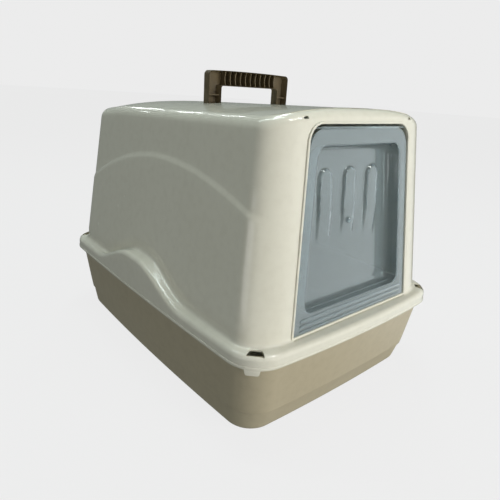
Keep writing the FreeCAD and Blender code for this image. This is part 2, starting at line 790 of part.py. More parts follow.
def make_handle():
    """U-shaped channel, open to the front, with thin ribs and two tongues through the roof."""
    body = new_body("carry_handle")
    outside = new_sketch(body, "handle_outline", "XZ_Plane")
    add_polygon(outside, handle_outline("0"))
    pad(body, "handle_outside", outside, "handle_depth", middle=True)
    top = size_of("handle_top")
    outer = size_of("handle_width / 2")
    inner = size_of("handle_width / 2 - handle_leg")
    under = size_of("handle_underside")

    def top_corner(box, edge):
        return box.YLength > 5 and near(box.ZMin, top) and near(abs(box.XMin), outer)

    def grip_corner(box, edge):
        return box.YLength > 5 and near(box.ZMin, under) and near(abs(box.XMin), inner)

    channel = new_sketch(body, "channel_outline", "XZ_Plane", ("0", "0", "handle_depth / 2"))
    add_polygon(channel, handle_outline("handle_wall"))
    pocket(body, "channel", channel, "handle_depth - handle_wall")
    channel_top = size_of("handle_top - handle_wall")
    channel_side = size_of("handle_width / 2 - handle_wall")

    def channel_corner(box, edge):
        return box.YLength > 5 and near(box.ZMin, channel_top) and near(abs(box.XMin), channel_side)

    fillet(body, "channel_corner", "handle_corner - handle_wall", channel_corner)
    fillet(body, "handle_top_corner", "handle_corner", top_corner)
    fillet(body, "handle_grip_corner", "handle_inner_corner", grip_corner)

    rib_plane = ("0", "0", "-handle_depth / 2 + handle_wall / 2")
    rib = new_sketch(body, "grip_rib_outline", "XZ_Plane", rib_plane)
    start = "-grip_rib_pitch * (grip_rib_count - 1) / 2"
    low = "handle_underside + handle_wall / 2"
    high = "handle_top - handle_wall / 2"
    half = "grip_rib / 2"
    corners = [(f"{start} - {half}", low), (f"{start} + {half}", low)]
    corners += [(f"{start} + {half}", high), (f"{start} - {half}", high)]
    add_polygon(rib, corners)
    first = pad(body, "grip_rib_first", rib, "handle_depth - handle_wall")
    row_of(body, "grip_ribs", first, "X_Axis", "grip_rib_pitch", "grip_rib_count")
    for side, name in ((-1, "left"), (1, "right")):
        leg = new_sketch(body, f"leg_rib_{name}", "XZ_Plane", rib_plane)
        near_x = f"{side} * (handle_width / 2 - handle_leg + handle_wall / 2)"
        far_x = f"{side} * (handle_width / 2 - handle_wall / 2)"
        low = "leg_rib_height - grip_rib / 2"
        high = "leg_rib_height + grip_rib / 2"
        add_polygon(leg, [(near_x, low), (far_x, low), (far_x, high), (near_x, high)])
        pad(body, f"leg_stiffener_{name}", leg, "handle_depth - handle_wall")

    roof = new_sketch(body, "roof_line", "YZ_Plane")
    fall = f"{math.tan(math.radians(SIZES['roof_fall'])):.6f}"
    y = "handle_depth"
    below = "roof_height - 2 * handle_depth"
    corners = [(f"-{y}", below), (y, below)]
    corners += [(y, f"roof_height - {y} * {fall}"), (f"-{y}", f"roof_height + {y} * {fall}")]
    add_polygon(roof, corners)
    pocket(body, "roof_trim", roof, "2 * handle_width", middle=True)

    tongue = new_sketch(body, "tongue_outline", "XY_Plane", ("0", "0", "roof_height - tongue_drop"))
    for side in (-1, 1):
        middle = f"{side} * (handle_width - handle_leg) / 2"
        x_low = f"{middle} - tongue_width / 2"
        x_high = f"{middle} + tongue_width / 2"
        y = "tongue_depth / 2"
        add_polygon(tongue, [(x_low, f"-{y}"), (x_high, f"-{y}"), (x_high, y), (x_low, y)])
    pad(body, "tongues", tongue, "tongue_drop + grip_rib")
    return body


def handle_outline(inset):
    """Corners of the U, drawn in by an inset; the legs run down past the roof."""
    outer = f"(handle_width / 2 - ({inset}))"
    inner = f"(handle_width / 2 - handle_leg + ({inset}))"
    top = f"handle_top - ({inset})"
    under = f"handle_underside + ({inset})"
    low = f"roof_height - handle_wall + ({inset})"
    left = [(f"-{inner}", under), (f"-{inner}", low), (f"-{outer}", low), (f"-{outer}", top)]
    right = [(outer, top), (outer, low), (inner, low), (inner, under)]
    return left + right


# ---------------------------------------------------------------- odour filter


def hang_under_roof(body):
    """Turn a body drawn with its top at z = 0 so that it lies under the sloping roof."""
    fall = f"{math.tan(math.radians(SIZES['roof_fall'])):.6f}"
    height = f"roof_height - wall - play / 5 - filter_y * {fall}"
    place = FreeCAD.Vector(0, size_of("filter_y"), size_of(height))
    turn = FreeCAD.Rotation(X_AXIS, -size_of("roof_fall"))
    body.Placement = FreeCAD.Placement(place, turn)
    bind(body, "Placement.Base.y", "filter_y * 1mm")
    bind(body, "Placement.Base.z", f"({height}) * 1mm")


def make_filter_holder():
    """Shallow grille that clips under the roof and carries the filter pad."""
    body = new_body("filter_holder")
    outside = new_sketch(body, "holder_outline", "XY_Plane")
    add_rectangle(outside, "holder_width", "holder_length")
    pad(body, "holder_outside", outside, "holder_depth", reverse=True)
    inside = new_sketch(body, "holder_inside_outline", "XY_Plane")
    add_rectangle(inside, "holder_width - 2 * holder_wall", "holder_length - 2 * holder_wall")
    pocket(body, "holder_inside", inside, "holder_depth - holder_wall")
    slot = new_sketch(body, "holder_slot_outline", "XY_Plane")
    start = "-holder_slot_pitch * (holder_slot_count - 1) / 2"
    half = "holder_slot / 2"
    y = "holder_slot_length / 2"
    corners = [(f"{start} - {half}", f"-{y}"), (f"{start} + {half}", f"-{y}")]
    corners += [(f"{start} + {half}", y), (f"{start} - {half}", y)]
    add_polygon(slot, corners)
    first = pocket(body, "holder_slot_first", slot, "2 * holder_depth")
    row_of(body, "holder_slots", first, "X_Axis", "holder_slot_pitch", "holder_slot_count")
    hang_under_roof(body)
    return body


def make_carbon_filter():
    """Soft pad that lies in the holder."""
    body = new_body("carbon_filter")
    outline = new_sketch(body, "pad_outline", "XY_Plane")
    width = "holder_width - 2 * holder_wall - 2 * play"
    length = "holder_length - 2 * holder_wall - 2 * play"
    add_rectangle(outline, width, length)
    pad(body, "filter_pad", outline, "holder_depth - holder_wall", reverse=True)
    hang_under_roof(body)
    return body


# ---------------------------------------------------------------- check and write


def check(parts):
    """Stop with a plain message if any object failed or any sub-part has no sound shape."""
    doc.recompute()
    for item in doc.Objects:
        if "Invalid" in item.State or "Error" in item.State:
            raise RuntimeError(f"{item.Name} failed: {item.State}")
    for body in parts:
        if body.Shape.isNull() or not body.Shape.isValid():
            raise RuntimeError(f"{body.Label} has no valid shape")
        if len(body.Shape.Solids) != 1:
            raise RuntimeError(f"{body.Label} has {len(body.Shape.Solids)} solids")


def main():
    """Build every sub-part, check them all and write one file for each."""
    makers = (make_tray, make_hood, make_door, make_handle, make_filter_holder, make_carbon_filter)
    parts = [make() for make in makers]
    check(parts)
    os.makedirs("parts", exist_ok=True)
    for body in parts:
        body.Shape.exportStep(f"parts/{body.Label}.step")
        box = body.Shape.BoundBox
        print(
            f"{body.Label:15s} volume {body.Shape.Volume / 1000:8.1f} cm3"
            f"  x {box.XMin:7.1f} {box.XMax:7.1f}  y {box.YMin:7.1f} {box.YMax:7.1f}"
            f"  z {box.ZMin:6.1f} {box.ZMax:6.1f}"
        )


main()
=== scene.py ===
# %% [markdown]
# # A cat litter box with a hood
#
# The real object is six plastic pieces that snap together: a litter tray, a hood with a
# swinging door and a carrying handle, and a small filter under the roof.  This lesson models
# each piece as a smooth, thin-walled moulding, gives it a plastic finish and sets up a studio.
#
# The first cell loads the engineering model.  It is the fixed frame: it says where every piece
# is and how it moves, so each new piece takes its place from it.

# %% Load the frame
import math

import bmesh
import bpy
from mathutils import Matrix, Vector


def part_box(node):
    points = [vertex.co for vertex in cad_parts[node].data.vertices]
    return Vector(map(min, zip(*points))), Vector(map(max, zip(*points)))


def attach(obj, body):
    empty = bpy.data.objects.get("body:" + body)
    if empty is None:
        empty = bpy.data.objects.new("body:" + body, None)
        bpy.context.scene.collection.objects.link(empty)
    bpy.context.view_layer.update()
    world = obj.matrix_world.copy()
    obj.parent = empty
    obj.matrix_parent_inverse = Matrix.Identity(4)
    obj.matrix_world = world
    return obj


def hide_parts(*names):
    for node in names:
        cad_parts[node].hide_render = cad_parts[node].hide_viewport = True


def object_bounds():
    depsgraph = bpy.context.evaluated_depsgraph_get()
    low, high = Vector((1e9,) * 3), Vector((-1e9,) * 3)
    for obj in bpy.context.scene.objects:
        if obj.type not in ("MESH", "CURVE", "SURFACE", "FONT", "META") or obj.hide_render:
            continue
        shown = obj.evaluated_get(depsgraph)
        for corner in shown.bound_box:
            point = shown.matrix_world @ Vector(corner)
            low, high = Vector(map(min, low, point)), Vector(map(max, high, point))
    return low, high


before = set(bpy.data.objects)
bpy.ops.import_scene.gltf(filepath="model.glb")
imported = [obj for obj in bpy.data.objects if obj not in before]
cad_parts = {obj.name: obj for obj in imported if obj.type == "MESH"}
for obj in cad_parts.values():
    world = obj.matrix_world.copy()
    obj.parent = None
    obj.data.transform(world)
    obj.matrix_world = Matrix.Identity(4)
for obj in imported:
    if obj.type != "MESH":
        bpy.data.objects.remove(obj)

MM = 0.001
cad_low, cad_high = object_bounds()
tray_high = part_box("tray")[1]
door_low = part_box("door_flap")[0]
handle_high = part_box("carry_handle")[1]
holder_low, holder_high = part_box("filter_holder")
felt_low, felt_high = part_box("carbon_filter")

# %% [markdown]
# ## The camera
#
# The camera stands in front of the box and to its left, a little above the roof.  Its axes are
# worked out from a heading, a downward tilt and a slight roll, so that each of the three can be
# set by itself.

# %% Place the camera
CAMERA_PLACE = Vector((-0.4706, -0.5657, 0.4102))
HEADING, TILT, ROLL = math.radians(41.3), math.radians(-19.9), math.radians(3.9)
LENS_MM = 32.67

ahead = Vector((math.sin(HEADING) * math.cos(TILT), math.cos(HEADING) * math.cos(TILT), math.sin(TILT)))
right = ahead.cross(Vector((0, 0, 1))).normalized()
upward = right.cross(ahead)
rolled_right = right * math.cos(ROLL) + upward * math.sin(ROLL)
rolled_up = upward * math.cos(ROLL) - right * math.sin(ROLL)
camera = bpy.data.objects.new("camera", bpy.data.cameras.new("camera"))
bpy.context.scene.collection.objects.link(camera)
camera.data.lens = LENS_MM
camera.data.sensor_width = 36.0
axes = Matrix((rolled_right, rolled_up, -ahead)).transposed()
camera.matrix_world = Matrix.Translation(CAMERA_PLACE) @ axes.to_4x4()
bpy.context.scene.camera = camera
print("camera at", tuple(round(c, 3) for c in CAMERA_PLACE))

# %% [markdown]
# ## Helpers for making meshes
#
# A bmesh is Blender's editable mesh in code.  Every piece below starts from an operator such as
# create_grid, and ends as an ordinary object whose place is in its mesh, so that its own origin
# stays at the origin of the frame.  Edges sharper than an angle are marked sharp, and all the
# rest is shaded smooth, as on a real moulding.

# %% Helpers that finish a piece
SHARP_ANGLE = math.radians(38)


def smooth_step(low, high, value):
    """0 at low, 1 at high, and a soft change between them."""
    t = min(max((value - low) / (high - low), 0.0), 1.0)
    return t * t * (3.0 - 2.0 * t)


def mix(a, b, t):
    """The value a part t of the way from a to b."""
    return a + (b - a) * t


def make_object(name, bm):
    """Turn a bmesh into an object in the scene."""
    bmesh.ops.recalc_face_normals(bm, faces=bm.faces)
    mesh = bpy.data.meshes.new(name)
    bm.to_mesh(mesh)
    bm.free()
    made = bpy.data.objects.new(name, mesh)
    bpy.context.scene.collection.objects.link(made)
    return made


def apply_modifiers(made):
    """Make what the modifiers show the object's own mesh."""
    bpy.context.view_layer.update()
    graph = bpy.context.evaluated_depsgraph_get()
    mesh = bpy.data.meshes.new_from_object(made.evaluated_get(graph))
    made.modifiers.clear()
    made.data = mesh
    mesh.name = made.name


def thicken(made, thickness):
    """Give a sheet a wall on its inner side."""
    wall = made.modifiers.new("wall", "SOLIDIFY")
    wall.thickness = thickness
    wall.offset = -1.0
    wall.use_even_offset = True
    apply_modifiers(made)


def cut(made, cutter):
    """Take the cutter's space out of the piece and remove the cutter."""
    tool = made.modifiers.new("cut", "BOOLEAN")
    tool.operation = "DIFFERENCE"
    tool.solver = "EXACT"
    tool.object = cutter
    apply_modifiers(made)
    bpy.data.objects.remove(cutter)


def join_into(made, others):
    """Add the meshes of other objects to the piece and remove them."""
    bm = bmesh.new()
    bm.from_mesh(made.data)
    for other in others:
        bm.from_mesh(other.data)
        bpy.data.objects.remove(other)
    bm.to_mesh(made.data)
    bm.free()


def finish_piece(made, body, node):
    """Shade the piece, hang it on its body in place of its CAD node, and say what it is."""
    for face in made.data.polygons:
        face.use_smooth = True
    made.data.set_sharp_from_angle(angle=SHARP_ANGLE)
    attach(made, body)
    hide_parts(node)
    size = [(max(v.co[i] for v in made.data.vertices) - min(v.co[i] for v in made.data.vertices)) / MM
            for i in range(3)]
    triangles = sum(len(face.vertices) - 2 for face in made.data.polygons)
    print(f"{made.name}: {triangles} triangles,", " x ".join(f"{s:.0f}" for s in size), "mm")


def bevel_edges(bm, edges, width, segments=3):
    """Round some edges by a width."""
    bmesh.ops.bevel(
        bm, geom=edges, offset=width, segments=segments, profile=0.5, affect="EDGES",
        clamp_overlap=True, material=-1,
    )


def sharp_edges(bm, angle=math.radians(40)):
    """Edges whose two faces meet at more than an angle."""
    return [e for e in bm.edges if len(e.link_faces) == 2 and e.calc_face_angle(0.0) > angle]


def rounded_object(name, bm, width):
    """Round the sharp edges of a bmesh and turn it into an object."""
    bmesh.ops.recalc_face_normals(bm, faces=bm.faces)
    bevel_edges(bm, sharp_edges(bm), width, 2)
    return make_object(name, bm)


def extrude(bm, faces, way):
    """Extrude faces along way, and keep the faces they start from."""
    made = bmesh.ops.extrude_face_region(bm, geom=faces, use_keep_orig=True)["geom"]
    moved = [item for item in made if isinstance(item, bmesh.types.BMVert)]
    bmesh.ops.translate(bm, vec=way, verts=moved)


def round_corners(bm, verts, reach, segments):
    """Round corners of a face; reach is how far the rounding runs along its edges."""
    return bmesh.ops.bevel(
        bm, geom=verts, offset=reach, segments=segments, profile=0.5, affect="VERTICES",
        clamp_overlap=False, material=-1,
    )

# %% [markdown]
# ## A moulded shell from rings
#
# The tray, the hood and the dish of the door are all boxes with soft corners.  Such a box can
# be made from a grid, which is its closed end, whose border is then extruded ring after ring
# along the walls.  The grid has square corners, and the first few rings, still in the flat end,
# turn them round, so that each corner of the grid lands in the middle of a rounded corner.  The
# faces then stay nearly square, and reflections run smoothly over the edge.
#
# The outline gives a point of the rounded rectangle for a pair of grid line numbers.  Its
# corners may be longer one way than the other, its sides may bow outwards a little, as moulded
# boxes do to stay stiff, and it may taper, as the door does.

# %% The outline of a soft-cornered box
class Outline:
    """A rounded rectangle in metres, crossed by grid lines that bunch in its corners."""

    def __init__(self, half_x, low, high, low_corner, high_corner, bow=(0.0, 0.0), taper=1.0,
                 steps=(36, 56, 10)):
        self.half_x = half_x              # half its width at the low end
        self.low, self.high = low, high   # where it starts and ends along y
        self.low_corner = low_corner      # corner lengths along x and y at the low end
        self.high_corner = high_corner
        self.bow = bow                    # how far the middle of a side stands out
        self.taper = taper                # width at the high end over width at the low end
        self.steps = steps                # lines along x, along y and in half a corner

    def inset(self, amount):
        """The same outline, drawn in evenly."""
        low = [max(c - amount, 0.0015) for c in self.low_corner]
        high = [max(c - amount, 0.0015) for c in self.high_corner]
        return Outline(self.half_x - amount, self.low + amount, self.high - amount, low, high,
                       self.bow, self.taper, self.steps)

    def lines(self):
        """Number of grid cells along x and along y."""
        across, along, corner = self.steps
        return across + 2 * corner, along + 2 * corner

    def border(self, i, j, roundness=1.0):
        """Point of the outline for grid line numbers on the border; roundness 0 squares its corners."""
        last_i, last_j = self.lines()
        turns = self.steps[2]
        at_high = 2 * j > last_j
        corner_x, corner_y = self.high_corner if at_high else self.low_corner
        end_y = self.high - corner_y if at_high else self.low + corner_y
        out_y = 1.0 if at_high else -1.0
        out_x = 1.0 if 2 * i > last_i else -1.0
        turn_i = max(turns - i, i - last_i + turns, 0) / turns
        turn_j = max(turns - j, j - last_j + turns, 0) / turns
        if i in (0, last_i):
            angle = turn_j * math.pi / 4
            reach = mix(turn_j, math.sin(angle), roundness)
            x = out_x * (self.half_x - corner_x * roundness * (1 - math.cos(angle)))
            share = (j - turns) / (last_j - 2 * turns)
            straight = mix(self.low + self.low_corner[1], self.high - self.high_corner[1], share)
            y = end_y + out_y * corner_y * reach if turn_j > 0 else straight
        else:
            angle = turn_i * math.pi / 4
            reach = mix(turn_i, math.sin(angle), roundness)
            flat = self.half_x - corner_x
            share = (i - turns) / (last_i - 2 * turns)
            x = out_x * (flat + corner_x * reach) if turn_i > 0 else mix(-flat, flat, share)
            y = end_y + out_y * corner_y * (1 - roundness * (1 - math.cos(angle)))
        along = (y - self.low) / (self.high - self.low)
        x_bowed = x * (1.0 - self.bow[0] / self.half_x * (2.0 * along - 1.0) ** 2)
        middle = (self.low + self.high) / 2
        y_bowed = middle + (y - middle) * (1.0 - self.bow[1] * 2.0 / (self.high - self.low)
                                           * (x / self.half_x) ** 2)
        return Vector((x_bowed * mix(1.0, self.taper, along), y_bowed, 0.0))


def fill(border, last_i, last_j, i, j):
    """Point of the closed end: a blend of the four sides of its border (a Coons patch)."""
    if i in (0, last_i) or j in (0, last_j):
        return border(i, j)
    corners = [border(0, 0), border(last_i, 0), border(0, last_j), border(last_i, last_j)]
    left, right_side = border(0, j), border(last_i, j)
    low, high = border(i, 0), border(i, last_j)
    u = (low.x - corners[0].x) / (corners[1].x - corners[0].x)
    v = (left.y - corners[0].y) / (corners[2].y - corners[0].y)
    straight = mix(mix(corners[0], corners[1], u), mix(corners[2], corners[3], u), v)
    return mix(left, right_side, u) + mix(low, high, v) - straight


SQUARED_INSET = 30.0 * MM
SPREAD_RINGS = 6


def spread(share):
    """How far in and how round a ring of the closed end is: square inside, round at its edge."""
    return SQUARED_INSET * (1.0 - share), smooth_step(0.0, 1.0, share)


def ring_shell(lines, end_point, ring_points):
    """A grid for the closed end, and one extruded ring for each function in ring_points.

    Each function takes the two grid line numbers of a point and gives its place.
    """
    last_i, last_j = lines
    bm = bmesh.new()
    bmesh.ops.create_grid(bm, x_segments=last_i, y_segments=last_j, size=0.5)
    line_i = bm.verts.layers.int.new("line_i")
    line_j = bm.verts.layers.int.new("line_j")
    for vert in bm.verts:
        vert[line_i] = round((vert.co.x + 0.5) * last_i)
        vert[line_j] = round((vert.co.y + 0.5) * last_j)
    for vert in bm.verts:
        vert.co = end_point(vert[line_i], vert[line_j])
    border = [edge for edge in bm.edges if edge.is_boundary]
    for ring_point in ring_points:
        made = bmesh.ops.extrude_edge_only(bm, edges=border)["geom"]
        for vert in (item for item in made if isinstance(item, bmesh.types.BMVert)):
            vert.co = ring_point(vert[line_i], vert[line_j])
        border = [e for e in made if isinstance(e, bmesh.types.BMEdge) and e.is_boundary]
    return bm


box_lines = Outline(1, -1, 1, (0.1, 0.1), (0.1, 0.1)).lines()
print("a shell ring has", 2 * sum(box_lines), "points")

# %% [markdown]
# ## The litter tray
#
# The tray is one taupe moulding that flares upwards from a flat floor.  A quarter of the way up
# its wall steps out a little, and its rim goes up inside the hood, out of sight.  Rings follow
# the profile of the wall, and a Solidify modifier then gives the wall its thickness.

# %% Model the tray
WALL = 2.0 * MM
TRAY_FOOT = (0.1734, 0.2387, 0.034, 0.034, 0.0060, 0.0040)
TRAY_STEP = (0.1776, 0.2490, 0.038, 0.038, 0.0060, 0.0050)
TRAY_RIM = (0.1893, 0.2643, 0.040, 0.040, 0.0049, 0.0075)
FOOT_ROUNDING = 8.0 * MM
STEP_HEIGHT = 34.0 * MM
STEP_LEDGE = 1.6 * MM
RIM_HEIGHT = tray_high.z


def tray_wall(height):
    """Outline of the tray's wall at a height, with the small ledge above the step."""
    if height < STEP_HEIGHT:
        low, high, share = TRAY_FOOT, TRAY_STEP, height / STEP_HEIGHT
    else:
        low, high = TRAY_STEP, TRAY_RIM
        share = (height - STEP_HEIGHT) / (RIM_HEIGHT - STEP_HEIGHT)
    half_x, half_y, corner_x, corner_y, bow_x, bow_y = [mix(a, b, share) for a, b in zip(low, high)]
    ledge = STEP_LEDGE * smooth_step(STEP_HEIGHT - 0.6 * MM, STEP_HEIGHT + 0.8 * MM, height)
    ledge *= 1.0 - smooth_step(STEP_HEIGHT, RIM_HEIGHT, height)
    corner = (corner_x, corner_y)
    return Outline(half_x, -half_y, half_y, corner, corner, (bow_x, bow_y)).inset(-ledge)


def tray_ring(height, outward=0.0):
    """Ring of the tray's wall at a height, moved outwards by an amount."""
    outline = tray_wall(height).inset(-outward)
    return lambda i, j: outline.border(i, j) + Vector((0.0, 0.0, height))


def tray_foot_ring(turn):
    """Ring of the rounding under the wall, from 0 on the floor to 1 on the wall."""
    angle = turn * math.pi / 2
    return tray_ring(FOOT_ROUNDING * (1 - math.cos(angle)), FOOT_ROUNDING * (math.sin(angle) - 1))


def tray_floor_ring(share):
    """Ring of the flat floor, from its square middle part (0) to its rounded edge (1)."""
    depth, roundness = spread(share)
    outline = tray_wall(0.0).inset(FOOT_ROUNDING + depth)
    return lambda i, j: outline.border(i, j, roundness)


floor_middle = tray_floor_ring(0.0)
rings = [tray_floor_ring(step / SPREAD_RINGS) for step in range(1, SPREAD_RINGS + 1)]
rings += [tray_foot_ring(step / 6) for step in range(1, 7)]
for height in (13, 19, 25, 30, 33.2, 33.6, 34, 34.4, 34.8, 36, 40, 47, 56, 66, 76, 86, 96, 106, 115, 121):
    rings.append(tray_ring(height * MM))
for drop, outward in ((4.6, 0.1), (4.2, 0.9), (3.8, 1.2), (0.8, 1.2), (0.3, 1.0), (0.0, 0.5)):
    rings.append(tray_ring(RIM_HEIGHT - drop * MM, outward * MM))
tray = make_object(
    "tray_moulding",
    ring_shell(box_lines, lambda i, j: fill(floor_middle, *box_lines, i, j), rings),
)
thicken(tray, WALL)
finish_piece(tray, "tray", "tray")

# %% [markdown]
# ## The hood's shell
#
# The hood is a deep cream shell: a sloping, slightly domed roof with soft edges, walls that
# lean inwards, and a skirt round the bottom that covers the tray's rim.  The skirt runs level
# at the ends and rises in a low wave in the middle of each long side.  The rings run from the
# roof down: over the roof's edge, down the wall, round a hollow fillet on to the skirt's shelf,
# over its outer edge and down to a small bead at the bottom.
#
# The front wall leans back and is flat, because the door hangs in it.  The next cell gives
# places on that leaning front from a distance across, up the slope and inwards.

# %% Measures of the hood
SKIRT_BOTTOM = 111.4 * MM
SHELF = 129.4 * MM
WALL_HALF_X, WALL_HALF_Y, WALL_RISE = 178.0 * MM, 250.4 * MM, 245.9 * MM
ROOF_LEVEL = 365 * MM       # height at which the wall's outline is taken for the roof
FRONT = Vector((0.0, -0.2504, 0.1289))
FRONT_LEAN = math.radians(6.4)
SIDE_LEAN = math.radians(7.0)
climb = Vector((0.0, math.sin(FRONT_LEAN), math.cos(FRONT_LEAN)))
inward_way = Vector((0.0, math.cos(FRONT_LEAN), -math.sin(FRONT_LEAN)))


def on_front(across, up, inward=0.0):
    """A place on the leaning front, in metres."""
    return FRONT + Vector((across, 0.0, 0.0)) + climb * up + inward_way * inward


def hood_wall(height):
    """Outline of the hood's wall at a height; its corners are longer across than along."""
    rise = height - SHELF
    share = rise / WALL_RISE
    half_x = WALL_HALF_X - rise * math.tan(SIDE_LEAN)
    half_y = WALL_HALF_Y - rise * math.tan(FRONT_LEAN)
    front_corner = (mix(0.058, 0.053, share), mix(0.036, 0.030, share))
    rear_corner = (mix(0.050, 0.046, share), mix(0.044, 0.036, share))
    return Outline(half_x, -half_y, half_y, front_corner, rear_corner)


SKIRT_CORNER = 42 * MM
SKIRT_BOW = (4.9 * MM, 8.8 * MM)
SKIRT = Outline(cad_high.x, cad_low.y, cad_high.y, (SKIRT_CORNER, SKIRT_CORNER),
                (SKIRT_CORNER, SKIRT_CORNER), SKIRT_BOW)


def facing(i, j):
    """How a border point faces: 0 to the front, 1 to a side, 2 to the rear."""
    last_i, last_j = box_lines
    turns = SKIRT.steps[2]
    if i in (0, last_i):
        if j < turns:
            return 0.5 + 0.5 * j / turns
        if j > last_j - turns:
            return 1.0 + 0.5 * (j - last_j + turns) / turns
        return 1.0
    bend = max(turns - i, i - last_i + turns, 0) / turns
    return 0.5 * bend if j == 0 else 2.0 - 0.5 * bend


WAVE_MIDDLE = 8.0 * MM
WAVE_RISE = 36.6 * MM


def shelf_height(i, j):
    """Height of the skirt's shelf: level, with a wave in the middle of each long side."""
    away = abs(hood_wall(SHELF).border(i, j).y - WAVE_MIDDLE) / MM
    if i not in (0, box_lines[0]):
        return SHELF
    return SHELF + WAVE_RISE * smooth_step(126.0, 14.0, away)


ROOF_MIDDLE = 384.0 * MM
ROOF_FALL = 0.0395
ROOF_DOME = 13.0 * MM


def roof_height(x, y):
    """Height of the roof: it falls to the rear, and is domed across."""
    rear = max(y - 0.100, 0.0)
    return ROOF_MIDDLE - ROOF_FALL * y - ROOF_DOME * abs(x / 0.145) ** 3 - 0.7 * rear ** 2


def roof_rounding(i, j):
    """Radius of the roof's edge: tightest above the door, widest at the rear."""
    way = facing(i, j)
    return mix(mix(12.0, 15.0, smooth_step(0.1, 0.85, way)), 18.0, smooth_step(1.0, 2.0, way)) * MM


print("roof front", round(roof_height(0, -0.212) / MM), "mm, rear", round(roof_height(0, 0.186) / MM), "mm")

# %% [markdown]
# A faint arch runs along each side wall, where the plastic below it stands a little proud.  The
# rings are spaced so that eight of them always follow that arch, which keeps its edge crisp
# however it crosses the wall.

# %% Rings of the hood
ARCH_BEND_FRONT, ARCH_BEND_REAR = 1.04, 1.35    # fall of the arch per square metre
ARCH_TOP = Vector((0.0, -0.020, 0.312))
ARCH_PROUD = 2.2 * MM
ARCH_HALF_STEP = 5.0 * MM
FILLET = 5.0 * MM
BAND_EDGE = 7.0 * MM


def arch_height(y):
    """Height of the arch along the side wall."""
    away = y - ARCH_TOP.y
    return ARCH_TOP.z - (ARCH_BEND_FRONT if away < 0 else ARCH_BEND_REAR) * away ** 2


def roof_edge(turn):
    """Ring of the roof's edge, from 0 on the wall to 1 on the roof."""
    angle = turn * math.pi / 2

    def point(i, j):
        radius = roof_rounding(i, j)
        inner = hood_wall(ROOF_LEVEL).inset(radius).border(i, j)
        height = roof_height(inner.x, inner.y) - radius * (1 - math.sin(angle))
        place = hood_wall(height).inset(radius * (1 - math.cos(angle))).border(i, j)
        return Vector((place.x, place.y, height))

    return point


wall_top = roof_edge(0.0)


def wall_ring(zone, share):
    """Ring of the wall: above the arch (0), across its step (1) or below it (2)."""

    def point(i, j):
        top = wall_top(i, j)
        arch = arch_height(top.y)
        levels = [top.z, arch + ARCH_HALF_STEP, arch - ARCH_HALF_STEP, shelf_height(i, j) + FILLET]
        height = mix(levels[zone], levels[zone + 1], share)
        below = smooth_step(0.0, 1.0, (0.0, share, 1.0)[zone])
        side = smooth_step(0.45, 0.95, 1.0 - abs(facing(i, j) - 1.0))
        fade = smooth_step(0.0, 14.0 * MM, height - levels[3])
        place = hood_wall(height).inset(-ARCH_PROUD * below * side * fade).border(i, j)
        return Vector((place.x, place.y, height))

    return point


def fillet_ring(turn):
    """Ring of the hollow fillet between wall and shelf."""
    angle = turn * math.pi / 2

    def point(i, j):
        height = shelf_height(i, j) + FILLET * (1 - math.sin(angle))
        place = hood_wall(height).inset(-FILLET * (1 - math.cos(angle))).border(i, j)
        return Vector((place.x, place.y, height))

    return point


def shelf_ring(turn):
    """Ring of the rounding from the shelf to the skirt's outer face."""
    angle = turn * math.pi / 2

    def point(i, j):
        place = SKIRT.inset(0.8 * MM + BAND_EDGE * (1 - math.sin(angle))).border(i, j)
        height = shelf_height(i, j) - 0.4 * MM - (BAND_EDGE - 0.4 * MM) * (1 - math.cos(angle))
        return Vector((place.x, place.y, height))

    return point


def band_ring(share, inset, rise):
    """Ring of the skirt's outer face, between the shelf's edge (0) and a rise above its bottom (1)."""

    def point(i, j):
        place = SKIRT.inset(inset * MM).border(i, j)
        height = mix(shelf_height(i, j) - BAND_EDGE, SKIRT_BOTTOM + rise * MM, share)
        return Vector((place.x, place.y, height))

    return point

# %% Model the hood's shell
ROOF_INSET = 15.0 * MM


def roof_ring(share):
    """Ring of the roof, from its square middle part (0) to its rounded edge (1)."""
    depth, roundness = spread(share)

    def point(i, j):
        inset = mix(ROOF_INSET, roof_rounding(i, j), share) + depth
        place = hood_wall(ROOF_LEVEL).inset(inset).border(i, j, roundness)
        return Vector((place.x, place.y, roof_height(place.x, place.y)))

    return point


roof_middle = roof_ring(0.0)


def roof_point(i, j):
    """Point of the square middle part of the roof."""
    place = fill(roof_middle, *box_lines, i, j)
    return Vector((place.x, place.y, roof_height(place.x, place.y)))


rings = [roof_ring(step / SPREAD_RINGS) for step in range(1, SPREAD_RINGS + 1)]
rings += [roof_edge(1.0 - step / 9) for step in range(1, 10)]
rings += [wall_ring(0, step / 9) for step in range(1, 9)]
rings += [wall_ring(1, step / 7) for step in range(8)]
rings += [wall_ring(2, step / 24) for step in range(1, 25)]
rings += [fillet_ring(step / 5) for step in range(1, 6)]
rings += [shelf_ring(step / 6) for step in range(7)]
rings += [band_ring(share, 0.8, 3.6) for share in (0.25, 0.5, 0.75, 1.0)]
rings += [band_ring(1.0, inset, rise) for inset, rise in ((0.2, 3.1), (0.0, 2.7), (0.0, 1.0), (0.3, 0.0))]
hood = make_object("hood_shell", ring_shell(box_lines, roof_point, rings))
thicken(hood, WALL)
print("hood shell", len(hood.data.polygons), "faces")

# %% [markdown]
# ## Openings in the hood
#
# The door's opening, the four windows in the skirt's corners, the vents over the filter and two
# notches above the door are cut with a Boolean.  Each cutter is an outline, most of them given
# rounded corners by a vertex bevel, that is then extruded.  All the cutters go in one object, so
# that the shell is cut only once.

# %% Cut the openings
OPENING_UP = 248.0 * MM
OPENING_LOW, OPENING_HIGH = 117.2 * MM, 94.15 * MM
OPENING_CORNER = 21.0 * MM
CORNER_REACH = 0.912    # reach of the rounding along an edge over its radius, for the sloping sides
ALL_FOUR = (0, 1, 2, 3)


